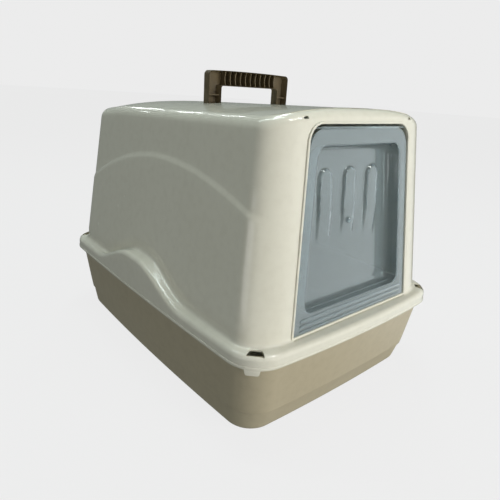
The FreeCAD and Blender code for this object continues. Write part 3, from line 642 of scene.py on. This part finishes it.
def prism(bm, corners, way, rounded=(), radius=0.0, segments=10):
    """A face through a few corners, some of them rounded, extruded along way."""
    verts = [bm.verts.new(corner) for corner in corners]
    face = bm.faces.new(verts)
    if rounded:
        round_corners(bm, [verts[k] for k in rounded], radius, segments)
        face = max(bm.faces, key=lambda f: f.calc_area())
    extrude(bm, [face], way)
    return bm


def front_outline(margin, inward):
    """Corners of the door's opening, enlarged by a margin."""
    low, high = OPENING_LOW + margin, OPENING_HIGH + margin
    return [on_front(-low, -margin, inward), on_front(low, -margin, inward),
            on_front(high, OPENING_UP + margin, inward), on_front(-high, OPENING_UP + margin, inward)]


def front_rectangle(left, right, low, high, inward):
    """Corners of a rectangle that lies in the leaning front."""
    return [on_front(x, up, inward) for x, up in ((left, low), (right, low), (right, high), (left, high))]


def upright_slot(x, y, width, length, low, high, radius):
    """A cutter for a slot with rounded corners, from one height to another."""
    corners = [Vector((x + side_x * width / 2, y + side_y * length / 2, low))
               for side_x, side_y in ((-1, -1), (1, -1), (1, 1), (-1, 1))]
    return make_object("slot", prism(bmesh.new(), corners, Vector((0, 0, high - low)), ALL_FOUR, radius, 4))


def box_corners():
    """For each corner of the box: its signs, the way out along its diagonal and the way across it."""
    for side_x, side_y in ((1, 1), (1, -1), (-1, 1), (-1, -1)):
        out = Vector((side_x, side_y, 0.0)).normalized()
        yield side_x, side_y, out, Vector((-out.y, out.x, 0.0))


opening = prism(bmesh.new(), front_outline(0.0, -12 * MM), inward_way * 40 * MM, (2, 3),
                OPENING_CORNER * CORNER_REACH)
cutters = [make_object("opening_cutter", opening)]

WINDOW_LOW, WINDOW_RISE = 118 * MM, 30 * MM
WINDOW_NEAR, WINDOW_FAR = 18.7 * MM, 29.7 * MM
WINDOW_NEAR_HALF, WINDOW_FAR_HALF = 7.25 * MM, 11.0 * MM
for side_x, side_y, out, along in box_corners():
    centre = Vector(((cad_high.x - SKIRT_CORNER) * side_x, (cad_high.y - SKIRT_CORNER) * side_y, WINDOW_LOW))
    corners = [centre + out * WINDOW_NEAR + along * WINDOW_NEAR_HALF,
               centre + out * WINDOW_NEAR - along * WINDOW_NEAR_HALF,
               centre + out * WINDOW_FAR - along * WINDOW_FAR_HALF,
               centre + out * WINDOW_FAR + along * WINDOW_FAR_HALF]
    window = prism(bmesh.new(), corners, Vector((0, 0, WINDOW_RISE)), ALL_FOUR, 1.5 * MM, 4)
    cutters.append(make_object("window_cutter", window))

VENT_COUNT, VENT_PITCH, VENT_WIDTH, VENT_LENGTH = 9, 12 * MM, 4 * MM, 80 * MM
filter_middle = (holder_low + holder_high) / 2
for number in range(VENT_COUNT):
    x = (number - (VENT_COUNT - 1) / 2) * VENT_PITCH
    cutters.append(upright_slot(x, filter_middle.y, VENT_WIDTH, VENT_LENGTH, 360 * MM, 400 * MM, 1.95 * MM))

NOTCH_X, NOTCH_HALF, NOTCH_LOW, NOTCH_HIGH = 100.0 * MM, 3.5 * MM, 253.5 * MM, 256.5 * MM
for side in (-1, 1):
    x = side * NOTCH_X
    corners = front_rectangle(x - NOTCH_HALF, x + NOTCH_HALF, NOTCH_LOW, NOTCH_HIGH, -4 * MM)
    cutters.append(make_object("notch_cutter", prism(bmesh.new(), corners, inward_way * 8.5 * MM)))

join_into(cutters[0], cutters[1:])
cut(hood, cutters[0])
print("hood with openings", len(hood.data.polygons), "faces")

# %% [markdown]
# ## Frame of the doorway, hinge sockets and snap tabs
#
# A narrow rim runs round the doorway.  It stands a little proud of the wall and turns inwards,
# so that the door can hang inside it.  It is an outline with an inset, whose middle is removed,
# and whose strip is extruded and rounded.  Small blocks behind it hold the door's pins, and a
# tapered tab hangs under each corner of the skirt, where it would snap on to the tray.

# %% Model the frame, the sockets and the tabs
FRAME_WIDTH = 3.0 * MM
FRAME_PROUD = 2.0 * MM
FRAME_DEPTH = 10.0 * MM

rim = bmesh.new()
low, high = OPENING_LOW + FRAME_WIDTH, OPENING_HIGH + FRAME_WIDTH
foot_up = 0.6 * MM
verts = [rim.verts.new(place) for place in (
    on_front(-low, foot_up, -FRAME_PROUD), on_front(low, foot_up, -FRAME_PROUD),
    on_front(high, OPENING_UP + FRAME_WIDTH, -FRAME_PROUD),
    on_front(-high, OPENING_UP + FRAME_WIDTH, -FRAME_PROUD))]
rim.faces.new(verts)
round_corners(rim, verts[2:], (OPENING_CORNER + FRAME_WIDTH) * CORNER_REACH, 12)
bmesh.ops.inset_region(rim, faces=list(rim.faces), thickness=FRAME_WIDTH, use_even_offset=True,
                       use_boundary=True)
middle = max(rim.faces, key=lambda f: f.calc_area())
bmesh.ops.delete(rim, geom=[middle], context="FACES_ONLY")
extrude(rim, list(rim.faces), inward_way * FRAME_DEPTH)
extras = [rounded_object("doorway_rim", rim, 0.8 * MM)]

SOCKET_NEAR, SOCKET_FAR, SOCKET_LOW, SOCKET_HIGH = 92 * MM, 104 * MM, 238 * MM, 250 * MM
for side in (-1, 1):
    corners = front_rectangle(side * SOCKET_NEAR, side * SOCKET_FAR, SOCKET_LOW, SOCKET_HIGH, 4 * MM)
    socket = prism(bmesh.new(), corners, inward_way * 4 * MM)
    extras.append(rounded_object("hinge_socket", socket, 0.8 * MM))

TAB_INSET, TAB_THICKNESS, TAB_DROP = 1.0 * MM, 1.6 * MM, 7.4 * MM
TAB_FOOT_HALF, TAB_HEAD_HALF = 8 * MM, 10.5 * MM
Z_WAY = Vector((0, 0, 1))
skirt_corner = SKIRT.border(0, 0)
for side_x, side_y, out, along in box_corners():
    corner = Vector((abs(skirt_corner.x) * side_x, abs(skirt_corner.y) * side_y, SKIRT_BOTTOM))
    middle = corner - out * TAB_INSET
    foot, head = middle - Z_WAY * TAB_DROP, middle + Z_WAY * 4 * MM
    corners = [foot - along * TAB_FOOT_HALF, foot + along * TAB_FOOT_HALF,
               head + along * TAB_HEAD_HALF, head - along * TAB_HEAD_HALF]
    tab = prism(bmesh.new(), corners, -out * TAB_THICKNESS, (0, 1), 2.0 * MM, 4)
    extras.append(rounded_object("snap_tab", tab, 0.4 * MM))
join_into(hood, extras)
finish_piece(hood, "hood", "hood")

# %% [markdown]
# ## The swinging door
#
# The door is one clear moulding: a flat border, a deep dish inside it, and three finger-wide
# ribs that rise out of the dish and fade away downwards.  It is a ring shell again, turned to
# lie in the leaning front: the grid is the dish's floor, and the rings climb its wall and run
# out over the border.  The floor's grid is fine, so that the ribs can be raised from it.

# %% Measures of the door
DOOR_GAP = 1.5 * MM
DOOR_THICKNESS = 2.0 * MM
door_foot = (door_low.z - FRONT.z) / math.cos(FRONT_LEAN) + 0.3 * MM
door_head = OPENING_UP - 5.4 * MM
narrowing = (OPENING_LOW - OPENING_HIGH) / OPENING_UP
PANEL_STEPS = (104, 104, 9)


def panel_outline(low, high, border, low_corner, high_corner):
    """Outline in the door's plane, a border in from the doorway's sides."""
    half_low = OPENING_LOW - DOOR_GAP - border - narrowing * low
    half_high = OPENING_LOW - DOOR_GAP - border - narrowing * high
    corner_low, corner_high = (low_corner, low_corner), (high_corner, high_corner)
    return Outline(half_low, low, high, corner_low, corner_high, taper=half_high / half_low,
                   steps=PANEL_STEPS)


door_edge = panel_outline(door_foot, door_head, 0.0, 1.5 * MM, 24 * MM)
dish_edge = panel_outline(26 * MM, 225 * MM, 15 * MM, 14 * MM, 16 * MM)
panel_lines = dish_edge.lines()
DISH_DEPTH = 19.5 * MM
DISH_DRAFT = 4.0 * MM
DISH_HOLLOW = 10.0 * MM

RIB_PITCH = 46.5 * MM
RIB_HALF = 13.5 * MM
RIB_TOP, RIB_FADE_FROM, RIB_FADE_TO = 198 * MM, 150 * MM, 96 * MM
RIB_PROUD = 4.2 * MM
print("door from", round(door_foot / MM), "to", round(door_head / MM), "mm up the front")


def rib_rise(x, up):
    """How far the ribs raise the dish's floor at a place."""
    rise = 0.0
    for number in (-1, 0, 1):
        beside = x - number * RIB_PITCH
        above = max(up - (RIB_TOP - RIB_HALF), 0.0)
        inside = RIB_HALF - math.hypot(beside, above)
        crest = smooth_step(0.0, 3.4 * MM, inside) * (0.92 + 0.08 * smooth_step(0.0, RIB_HALF, inside))
        rise = max(rise, crest * smooth_step(RIB_FADE_TO, RIB_FADE_FROM, up))
    return rise * RIB_PROUD

# %% Model the door
dish_floor = dish_edge.inset(DISH_DRAFT + DISH_HOLLOW * 0.55)
FLOOR_SQUARED = 8.0 * MM
floor_square = dish_floor.inset(FLOOR_SQUARED)


def floor_point(i, j):
    """Point of the dish's floor, raised by the ribs."""
    flat = fill(lambda a, b: floor_square.border(a, b, 0.0), *panel_lines, i, j)
    return on_front(flat.x, flat.y, DISH_DEPTH - rib_rise(flat.x, flat.y))


def floor_ring(share):
    """Ring of the dish's floor, from its square middle part (0) to its rounded edge (1)."""
    outline = dish_floor.inset(FLOOR_SQUARED * (1.0 - share))

    def point(i, j):
        flat = outline.border(i, j, smooth_step(0.0, 1.0, share))
        return on_front(flat.x, flat.y, DISH_DEPTH)

    return point


def dish_ring(inset, inward):
    """Ring of the dish's wall: drawn in from the dish's edge, and inwards from the border."""
    outline = dish_edge.inset(inset)

    def point(i, j):
        flat = outline.border(i, j)
        return on_front(flat.x, flat.y, inward)

    return point


def border_ring(share):
    """Ring of the flat border, from the dish's edge (0) to the door's edge (1)."""

    def point(i, j):
        flat = mix(dish_edge.inset(-1.2 * MM).border(i, j), door_edge.border(i, j), share)
        return on_front(flat.x, flat.y, 0.0)

    return point


rings = [floor_ring(step / 4) for step in range(1, 5)]
for step in range(1, 6):
    angle = step / 5 * math.pi / 2
    inset = mix(DISH_DRAFT + DISH_HOLLOW * 0.55, DISH_DRAFT * 0.7, math.sin(angle))
    rings.append(dish_ring(inset, DISH_DEPTH - DISH_HOLLOW * (1 - math.cos(angle))))
rings += [dish_ring(DISH_DRAFT * 0.5, DISH_DEPTH * 0.45), dish_ring(DISH_DRAFT * 0.3, 2.2 * MM)]
rings += [dish_ring(0.9 * MM, 1.0 * MM), dish_ring(0.3 * MM, 0.35 * MM), dish_ring(-0.4 * MM, 0.08 * MM)]
rings += [border_ring(share) for share in (0.0, 0.3, 0.6, 0.9, 1.0)]
door = make_object("door_panel", ring_shell(panel_lines, floor_point, rings))
facing_out = sum(face.normal.y * face.area for face in door.data.polygons) < 0
if not facing_out:
    door.data.flip_normals()
thicken(door, DOOR_THICKNESS)
print("door panel", len(door.data.polygons), "faces, outside", facing_out)

# %% [markdown]
# Three narrow step ridges run along the door's bottom edge, a round nub sits low on the middle
# rib, and a barrel along the top carries a pin at each end, which turns in the hood's sockets.

# %% Ridges, nub and hinge barrel
RIDGE_WIDTH, RIDGE_PITCH, RIDGE_FIRST, RIDGE_PROUD = 4.0 * MM, 7.0 * MM, 8.0 * MM, 1.2 * MM
NUB_UP, NUB_RADIUS = 128.0 * MM, 4.0 * MM
BARREL_UP, BARREL_IN, BARREL_RADIUS, BARREL_HALF = 244.0 * MM, 1.0 * MM, 1.9 * MM, 75.0 * MM
PIN_RADIUS, PIN_REACH = 0.9 * MM, 96.0 * MM

extras = []
for number in range(3):
    up = RIDGE_FIRST + (number - 0.5) * RIDGE_PITCH
    half = OPENING_LOW - 12 * MM
    corners = front_rectangle(-half, half, up, up + RIDGE_WIDTH, -RIDGE_PROUD)
    ridge = prism(bmesh.new(), corners, inward_way * (RIDGE_PROUD + 0.4 * MM), ALL_FOUR, 1.9 * MM, 4)
    extras.append(rounded_object("ridge", ridge, 0.5 * MM))

nub = bmesh.new()
bmesh.ops.create_uvsphere(nub, u_segments=20, v_segments=12, radius=NUB_RADIUS)
bmesh.ops.scale(nub, vec=(1.0, 0.6, 1.0), verts=nub.verts)
bmesh.ops.translate(nub, vec=on_front(0.0, NUB_UP, DISH_DEPTH - RIB_PROUD), verts=nub.verts)
extras.append(make_object("nub", nub))

hinge_place = Matrix.Translation(on_front(0, BARREL_UP, BARREL_IN)) @ Matrix.Rotation(math.pi / 2, 4, "Y")
for radius, half in ((BARREL_RADIUS, BARREL_HALF), (PIN_RADIUS, PIN_REACH)):
    barrel = bmesh.new()
    bmesh.ops.create_cone(barrel, cap_ends=True, segments=28, radius1=radius, radius2=radius, depth=2 * half)
    bevel_edges(barrel, sharp_edges(barrel, math.radians(60)), 0.5 * MM, 2)
    bmesh.ops.transform(barrel, matrix=hinge_place, verts=barrel.verts)
    extras.append(make_object("barrel", barrel))
join_into(door, extras)
finish_piece(door, "door", "door_flap")

# %% [markdown]
# ## The carrying handle
#
# The handle is a dark brown arch on the middle of the roof.  It is a channel, open to the
# front, stiffened by thin ribs across the grip whose free edges are scooped, and by one small
# rib in each leg.  The arch is a face with eight corners, rounded, extruded, and inset to make
# the channel.

# %% Model the handle
HANDLE_HALF = handle_high.x
HANDLE_LEG = 21.7 * MM
HANDLE_TOP = handle_high.z
GRIP_UNDER = 407.0 * MM
HANDLE_FOOT = 381.5 * MM
HANDLE_HALF_DEPTH = handle_high.y
HANDLE_WALL = 2.0 * MM
GRIP_RIBS, GRIP_RIB_PITCH, RIB_THICKNESS = 11, 9.6 * MM, 1.3 * MM

front_y = -HANDLE_HALF_DEPTH
leg_in = HANDLE_HALF - HANDLE_LEG
arch_sag = 2.0 * MM
profile = [(-HANDLE_HALF, HANDLE_FOOT), (-leg_in, HANDLE_FOOT), (-leg_in, GRIP_UNDER), (leg_in, GRIP_UNDER),
           (leg_in, HANDLE_FOOT), (HANDLE_HALF, HANDLE_FOOT), (HANDLE_HALF, HANDLE_TOP - arch_sag),
           (0.0, HANDLE_TOP), (-HANDLE_HALF, HANDLE_TOP - arch_sag)]
arch = bmesh.new()
verts = [arch.verts.new((x, front_y, z)) for x, z in profile]
arch.faces.new(verts)
round_corners(arch, [verts[6], verts[8]], 6 * MM, 6)
inner = [v for v in arch.verts if abs(abs(v.co.x) - leg_in) < 0.1 * MM and v.co.z > HANDLE_FOOT + MM]
round_corners(arch, inner, 3 * MM, 4)
peak = [v for v in arch.verts if abs(v.co.x) < 0.1 * MM and v.co.z > HANDLE_TOP - MM]
round_corners(arch, peak, 50 * MM, 8)
extrude(arch, [arch.faces[:][0]], (0, 2 * HANDLE_HALF_DEPTH, 0))
bmesh.ops.recalc_face_normals(arch, faces=arch.faces)
front_face = min(arch.faces, key=lambda f: f.calc_center_median().y)
bmesh.ops.inset_region(arch, faces=[front_face], thickness=HANDLE_WALL, use_even_offset=True)
bmesh.ops.translate(arch, vec=(0, 2 * HANDLE_HALF_DEPTH - HANDLE_WALL, 0), verts=front_face.verts)
bevel_edges(arch, sharp_edges(arch), 0.5 * MM, 2)
handle = make_object("handle_channel", arch)

extras = []
floor_y = HANDLE_HALF_DEPTH - HANDLE_WALL
for number in range(GRIP_RIBS):
    x = (number - (GRIP_RIBS - 1) / 2) * GRIP_RIB_PITCH
    low_z, high_z = GRIP_UNDER + HANDLE_WALL - 0.4 * MM, HANDLE_TOP - HANDLE_WALL - 0.4 * MM
    scoop = [(front_y + 0.8 * MM, high_z), (floor_y + 0.3 * MM, high_z), (floor_y + 0.3 * MM, low_z),
             (front_y + 0.8 * MM, low_z), (front_y + 2.6 * MM, mix(low_z, high_z, 0.35)),
             (front_y + 2.6 * MM, mix(low_z, high_z, 0.65))]
    corners = [Vector((x - RIB_THICKNESS / 2, y, z)) for y, z in scoop]
    rib = prism(bmesh.new(), corners, Vector((RIB_THICKNESS, 0, 0)), (4, 5), 2.4 * MM, 4)
    extras.append(make_object("grip_rib", rib))
LEG_RIB_LOW, LEG_RIB_THICKNESS = 393.5 * MM, 1.6 * MM
for side in (-1, 1):
    near, far = side * (leg_in + 1.6 * MM), side * (HANDLE_HALF - 1.6 * MM)
    near_y, far_y = front_y + 4 * MM, floor_y + 0.3 * MM
    corners = [Vector((x, y, LEG_RIB_LOW))
               for x, y in ((near, near_y), (far, near_y), (far, far_y), (near, far_y))]
    extras.append(make_object("leg_rib", prism(bmesh.new(), corners, Vector((0, 0, LEG_RIB_THICKNESS)))))
join_into(handle, extras)
finish_piece(handle, "hood", "carry_handle")

# %% [markdown]
# ## The filter under the roof
#
# Behind the vents a slotted holder carries a square of carbon felt.  The holder is a shallow
# open box with a grille for a floor.  The felt is a soft pad with rounded edges.

# %% Model the filter holder and the felt
size = holder_high - holder_low
middle = (holder_low + holder_high) / 2
ROOF_SLOPE = math.atan(ROOF_FALL)
HOLDER_DEPTH = 9.0 * MM
HOLDER_DROP = 3.7 * MM


def under_roof(middle):
    """Matrix that takes a flat piece to its place under the sloping roof."""
    place = Vector((0, middle.y, middle.z - HOLDER_DROP))
    return Matrix.Translation(place) @ Matrix.Rotation(-ROOF_SLOPE, 4, "X")


holder = bmesh.new()
bmesh.ops.create_cube(holder, size=1.0)
bmesh.ops.scale(holder, vec=(size.x, size.y - 0.6 * MM, HOLDER_DEPTH), verts=holder.verts)
upright_edges = [e for e in holder.edges if abs((e.verts[0].co - e.verts[1].co).z) > 0.5 * HOLDER_DEPTH]
bevel_edges(holder, upright_edges, 6 * MM, 5)
top = max(holder.faces, key=lambda f: f.calc_center_median().z)
bmesh.ops.inset_region(holder, faces=[top], thickness=1.6 * MM, use_even_offset=True)
bmesh.ops.translate(holder, vec=(0, 0, -HOLDER_DEPTH + 1.6 * MM), verts=top.verts)
bevel_edges(holder, sharp_edges(holder), 0.4 * MM, 2)
grille = make_object("filter_grille", holder)
SLOT_WIDTH, SLOT_LENGTH = 6 * MM, 90 * MM
slots = [upright_slot((number - 4) * VENT_PITCH, 0.0, SLOT_WIDTH, SLOT_LENGTH, -20 * MM, -2 * MM, 2.9 * MM)
         for number in range(9)]
join_into(slots[0], slots[1:])
cut(grille, slots[0])
grille.data.transform(under_roof(middle))
finish_piece(grille, "hood", "filter_holder")

felt_size = felt_high - felt_low
felt_middle = (felt_low + felt_high) / 2
FELT_DEPTH = 7.0 * MM
pad = bmesh.new()
bmesh.ops.create_grid(pad, x_segments=24, y_segments=20, size=0.5)
bmesh.ops.scale(pad, vec=(felt_size.x - 2 * MM, felt_size.y - 2 * MM, 1.0), verts=pad.verts)
extrude(pad, list(pad.faces), (0, 0, FELT_DEPTH))
bmesh.ops.translate(pad, vec=(0, 0, -FELT_DEPTH / 2), verts=pad.verts)
bmesh.ops.recalc_face_normals(pad, faces=pad.faces)
bevel_edges(pad, sharp_edges(pad), 2.2 * MM, 3)
bmesh.ops.transform(pad, matrix=under_roof(felt_middle), verts=pad.verts)
felt = make_object("carbon_felt", pad)
finish_piece(felt, "hood", "carbon_filter")

# %% [markdown]
# ## Finishes
#
# Shader maths reads best as ordinary Python.  The class below wraps a socket of a material's
# node tree, so that an expression on sockets adds Math nodes.  Any other node comes from one
# method, which takes the node's type, its settings and the values or links of its sockets.

# %% A small language for materials
class Socket:
    """An output socket that can be used in sums."""

    def __init__(self, finish, socket):
        self.finish, self.socket = finish, socket

    def math(self, operation, a, b=0.0, c=0.0):
        return self.finish.node("ShaderNodeMath", {"operation": operation}, {0: a, 1: b, 2: c})

    def __add__(self, other):
        return self.math("ADD", self, other)

    __radd__ = __add__

    def __sub__(self, other):
        return self.math("SUBTRACT", self, other)

    def __rsub__(self, other):
        return self.math("SUBTRACT", other, self)

    def __mul__(self, other):
        return self.math("MULTIPLY", self, other)

    __rmul__ = __mul__

    def ramp(self, low, high):
        """0 where the value is low, 1 where it is high."""
        return self.finish.node(
            "ShaderNodeMapRange", {"interpolation_type": "SMOOTHSTEP"},
            {"Value": self, "From Min": low, "From Max": high, "To Min": 0.0, "To Max": 1.0})


class Finish:
    """A material whose main shader is a Principled BSDF."""

    def __init__(self, name):
        self.material = bpy.data.materials.new(name)
        self.material.use_nodes = True
        self.tree = self.material.node_tree
        self.shader = self.tree.nodes["Principled BSDF"]

    def node(self, kind, settings=None, inputs=None, output=0):
        """Add a node: its settings first, then the values or links of its sockets."""
        made = self.tree.nodes.new(kind)
        for key, value in (settings or {}).items():
            setattr(made, key, value)
        for key, value in (inputs or {}).items():
            self.feed(made.inputs[key], value)
        return Socket(self, made.outputs[output])

    def feed(self, target, value):
        """Link a socket to another, or set its value."""
        if isinstance(value, Socket):
            self.tree.links.new(value.socket, target)
        else:
            target.default_value = value

    def set(self, **values):
        """Set sockets of the main shader; a word's low line stands for a space."""
        for key, value in values.items():
            self.feed(self.shader.inputs[key.replace("_", " ")], value)

    def place(self):
        """Position on the piece, in metres."""
        return self.node("ShaderNodeTexCoord", output=3)

    def noise(self, scale, detail=2.0, roughness=0.5, stretch=None):
        """Noise between 0 and 1 on the piece."""
        place = self.place()
        if stretch:
            place = self.node("ShaderNodeMapping", {}, {"Vector": place, "Scale": stretch})
        return self.node("ShaderNodeTexNoise", {}, {"Vector": place, "Scale": scale, "Detail": detail,
                                                    "Roughness": roughness})

    def blend(self, factor, a, b):
        """A colour between a and b."""
        return self.node("ShaderNodeMix", {"data_type": "RGBA"}, {0: factor, 6: a, 7: b}, output=2)

    def bump(self, height, strength, distance):
        """A normal from a height."""
        return self.node("ShaderNodeBump", {}, {"Height": height, "Strength": strength, "Distance": distance})

    def dress(self, *pieces):
        """Give the material to pieces."""
        for piece in pieces:
            piece.data.materials.clear()
            piece.data.materials.append(self.material)


def colour(red, green, blue):
    """A colour from its screen values between 0 and 255."""
    parts = [(c / 255) / 12.92 if c / 255 <= 0.04045 else ((c / 255 + 0.055) / 1.055) ** 2.4
             for c in (red, green, blue)]
    return (*parts, 1.0)

# %% [markdown]
# ### Cream plastic of the hood
#
# The hood is glossy polypropylene.  Up close it is faintly mottled.  A very slight waviness from
# the mould makes long reflections wander, and small scuffs dull the gloss in places.

# %% Cream plastic
cream = Finish("cream_plastic")
fleck = cream.noise(95.0, 2.0).ramp(0.35, 0.85)
cloud = cream.noise(6.0, 3.0)
cream_colour = cream.blend(cloud, colour(224, 221, 206), colour(229, 226, 213))
cream_colour = cream.blend(fleck * 0.10, cream_colour, colour(176, 168, 148))
waves = cream.noise(9.0, 0.0)
grain = cream.noise(160.0, 1.0)
cream.set(Base_Color=cream_colour, Roughness=0.20 + 0.10 * cream.noise(38.0, 2.0), Coat_Weight=0.7,
          Coat_Roughness=0.02, IOR=1.49, Specular_IOR_Level=0.25,
          Normal=cream.bump(waves * 1.0 + grain * 0.004, 0.12, 0.004))
cream.dress(hood)

# %% [markdown]
# ### Taupe plastic of the tray
#
# The tray is the same sort of plastic in a darker grey-brown, and a little duller.

# %% Taupe plastic
taupe = Finish("taupe_plastic")
fleck = taupe.noise(95.0, 2.0).ramp(0.35, 0.85)
taupe_colour = taupe.blend(taupe.noise(7.0, 3.0), colour(180, 169, 144), colour(187, 177, 153))
taupe_colour = taupe.blend(fleck * 0.14, taupe_colour, colour(140, 128, 106))
taupe.set(Base_Color=taupe_colour, Roughness=0.34 + 0.14 * taupe.noise(34.0, 2.0), IOR=1.40,
          Normal=taupe.bump(taupe.noise(12.0, 1.0) + taupe.noise(160.0, 1.0) * 0.01, 0.2, 0.004))
taupe.dress(tray)

# %% [markdown]
# ### Smoky clear plastic of the door
#
# The door lets some light through and reflects strongly.  Its tint is a cool blue-grey.  Fine
# hairlines from wiping it clean run up and down and change the gloss.

# %% Clear plastic
smoky = Finish("smoky_clear_plastic")
hairlines = smoky.noise(260.0, 3.0, stretch=(1.0, 1.0, 0.08))
haze = smoky.noise(9.0, 3.0)
smoky.set(Base_Color=smoky.blend(haze, colour(192, 206, 210), colour(204, 218, 221)),
          Roughness=0.06 + 0.08 * hairlines, Transmission_Weight=0.78, IOR=1.45, Coat_Weight=1.0,
          Coat_Roughness=0.02, Normal=smoky.bump(smoky.noise(11.0, 1.0), 0.12, 0.003))
smoky.dress(door)

# %% [markdown]
# ### Dark brown satin plastic and carbon felt
#
# The handle and the filter's holder are a dark brown with a satin, finely grained surface.  The
# felt is matted black fibre: dark, with no gloss, and a strong fine bump.

# %% Brown plastic and felt
brown = Finish("brown_satin_plastic")
brown_colour = brown.blend(brown.noise(22.0, 3.0), colour(88, 75, 53), colour(98, 85, 61))
brown.set(Base_Color=brown_colour, Roughness=0.42 + 0.16 * brown.noise(60.0, 3.0), IOR=1.48,
          Normal=brown.bump(brown.noise(1500.0, 3.0), 0.25, 0.0004))
brown.dress(handle, grille)

black_felt = Finish("carbon_felt")
fibres = black_felt.noise(1700.0, 4.0, 0.7, stretch=(1.0, 0.35, 1.0))
black_felt.set(Base_Color=black_felt.blend(fibres, colour(22, 22, 23), colour(64, 63, 62)), Roughness=0.95,
               Sheen_Weight=0.3, Normal=black_felt.bump(fibres, 0.9, 0.0012))
black_felt.dress(felt)
print("materials", [m.name for m in bpy.data.materials])

# %% [markdown]
# ## The studio
#
# The box stands on a plain pale floor in front of a pale surround.  A large soft light from the
# right of the camera lights the front, long lights overhead streak the glossy roof, and the
# left side is left in soft shade.

# %% Floor, surround and lights
bpy.context.scene.view_settings.view_transform = "Standard"


def stage_finish(name, glow, share):
    """A pale matt surface that also glows a little, so that it stays even."""
    made = bpy.data.materials.new(name)
    made.use_nodes = True
    shader = made.node_tree.nodes["Principled BSDF"]
    shader.inputs["Base Color"].default_value = (share, share, share, 1.0)
    shader.inputs["Roughness"].default_value = 1.0
    shader.inputs["Specular IOR Level"].default_value = 0.0
    shader.inputs["Emission Color"].default_value = (1.0, 1.0, 1.0, 1.0)
    shader.inputs["Emission Strength"].default_value = glow
    return made


BACKGROUND = 0.838
FLOOR_SHARE = 0.05
bm = bmesh.new()
bmesh.ops.create_circle(bm, cap_ends=True, segments=64, radius=14.0)
floor = make_object("studio_floor", bm)
floor.data.materials.append(stage_finish("floor_finish", BACKGROUND - 0.03, FLOOR_SHARE))
bm = bmesh.new()
bmesh.ops.create_uvsphere(bm, u_segments=48, v_segments=24, radius=14.0)
surround = make_object("studio_surround", bm)
surround.data.flip_normals()
surround.data.materials.append(stage_finish("surround_finish", BACKGROUND, 0.0))
surround.visible_shadow = False
for backdrop in (floor, surround):
    backdrop.visible_diffuse = False
    backdrop.visible_glossy = False

world = bpy.data.worlds.new("studio_world")
world.use_nodes = True
world.node_tree.nodes["Background"].inputs[0].default_value = (0.93, 1.0, 0.95, 1.0)
world.node_tree.nodes["Background"].inputs[1].default_value = 0.195
bpy.context.scene.world = world


def soft_light(name, place, target, width, height, watts, tint=(1.0, 1.0, 1.0)):
    """A rectangular soft light that looks at a target."""
    data = bpy.data.lights.new(name, "AREA")
    data.shape = "RECTANGLE"
    data.size, data.size_y, data.energy, data.color = width, height, watts, tint
    lamp = bpy.data.objects.new(name, data)
    bpy.context.scene.collection.objects.link(lamp)
    way = Vector(target) - Vector(place)
    lamp.matrix_world = Matrix.Translation(place) @ way.to_track_quat("-Z", "Y").to_matrix().to_4x4()
    return lamp


key = soft_light("key_light", (0.55, -2.10, 0.62), (0.0, -0.1, 0.2), 1.7, 1.4, 40.0, (1.0, 0.985, 0.94))
key.visible_glossy = False
soft_light("top_light_left", (-0.25, 0.4, 2.0), (-0.1, 0.2, 0.3), 0.12, 1.6, 10.5, (0.88, 1.0, 0.99))
soft_light("top_light_right", (0.35, 0.4, 2.0), (0.1, 0.2, 0.3), 0.12, 1.6, 10.5, (0.88, 1.0, 0.99))
soft_light("fill_light", (-1.6, -0.5, 0.12), (0.0, 0.0, 0.15), 1.0, 0.5, 2.9, (1.0, 1.0, 0.98))

# %% [markdown]
# Gloss needs something to mirror.  A pale card on the right is mirrored by the door, a softer
# one in front by the corner, and small bright tubes overhead by the edges of the roof.  They are
# seen in reflections only, so they don't change how the matt parts are lit.

# %% Cards that only reflections see
cards = [
    soft_light("door_card", (2.4, -1.95, 0.0), (0.0, -0.24, 0.25), 4.0, 4.0, 40.0, (0.90, 0.96, 1.0)),
    soft_light("corner_card", (0.55, -2.1, 0.62), (0.0, -0.1, 0.2), 1.5, 1.4, 5.0, (1.0, 0.99, 0.96)),
]
ROOF_EDGE = (-0.140, -0.09, 0.375)
for number in range(3):
    place = (0.34, 2.10 - 0.08 * number, 1.22 + 0.30 * number)
    cards.append(soft_light(f"tube_{number}", place, ROOF_EDGE, 0.40, 0.04, 0.9, (0.95, 1.0, 0.98)))
REAR_EDGE = (-0.147, 0.05, 0.365)
cards.append(soft_light("tube_rear", (-0.46, 2.3, 1.41), REAR_EDGE, 0.14, 0.04, 0.25, (0.95, 1.0, 0.98)))
FRONT_EDGE = (-0.09, -0.219, 0.381)
for number in range(3):
    place = (0.35 + 0.28 * number, -1.45 + 0.10 * number, 2.35)
    cards.append(soft_light(f"tube_front_{number}", place, FRONT_EDGE, 0.06, 0.6, 5.0, (1.0, 1.0, 0.97)))
for card in cards:
    card.visible_diffuse = False
for lamp in [o for o in bpy.data.objects if o.type == "LIGHT"]:
    lamp.visible_camera = False

# %% [markdown]
# ## Update the scene
#
# The last cell updates the view layer. The visual model may not be bigger than the engineering
# model.

# %% Update the view layer
bpy.context.view_layer.update()
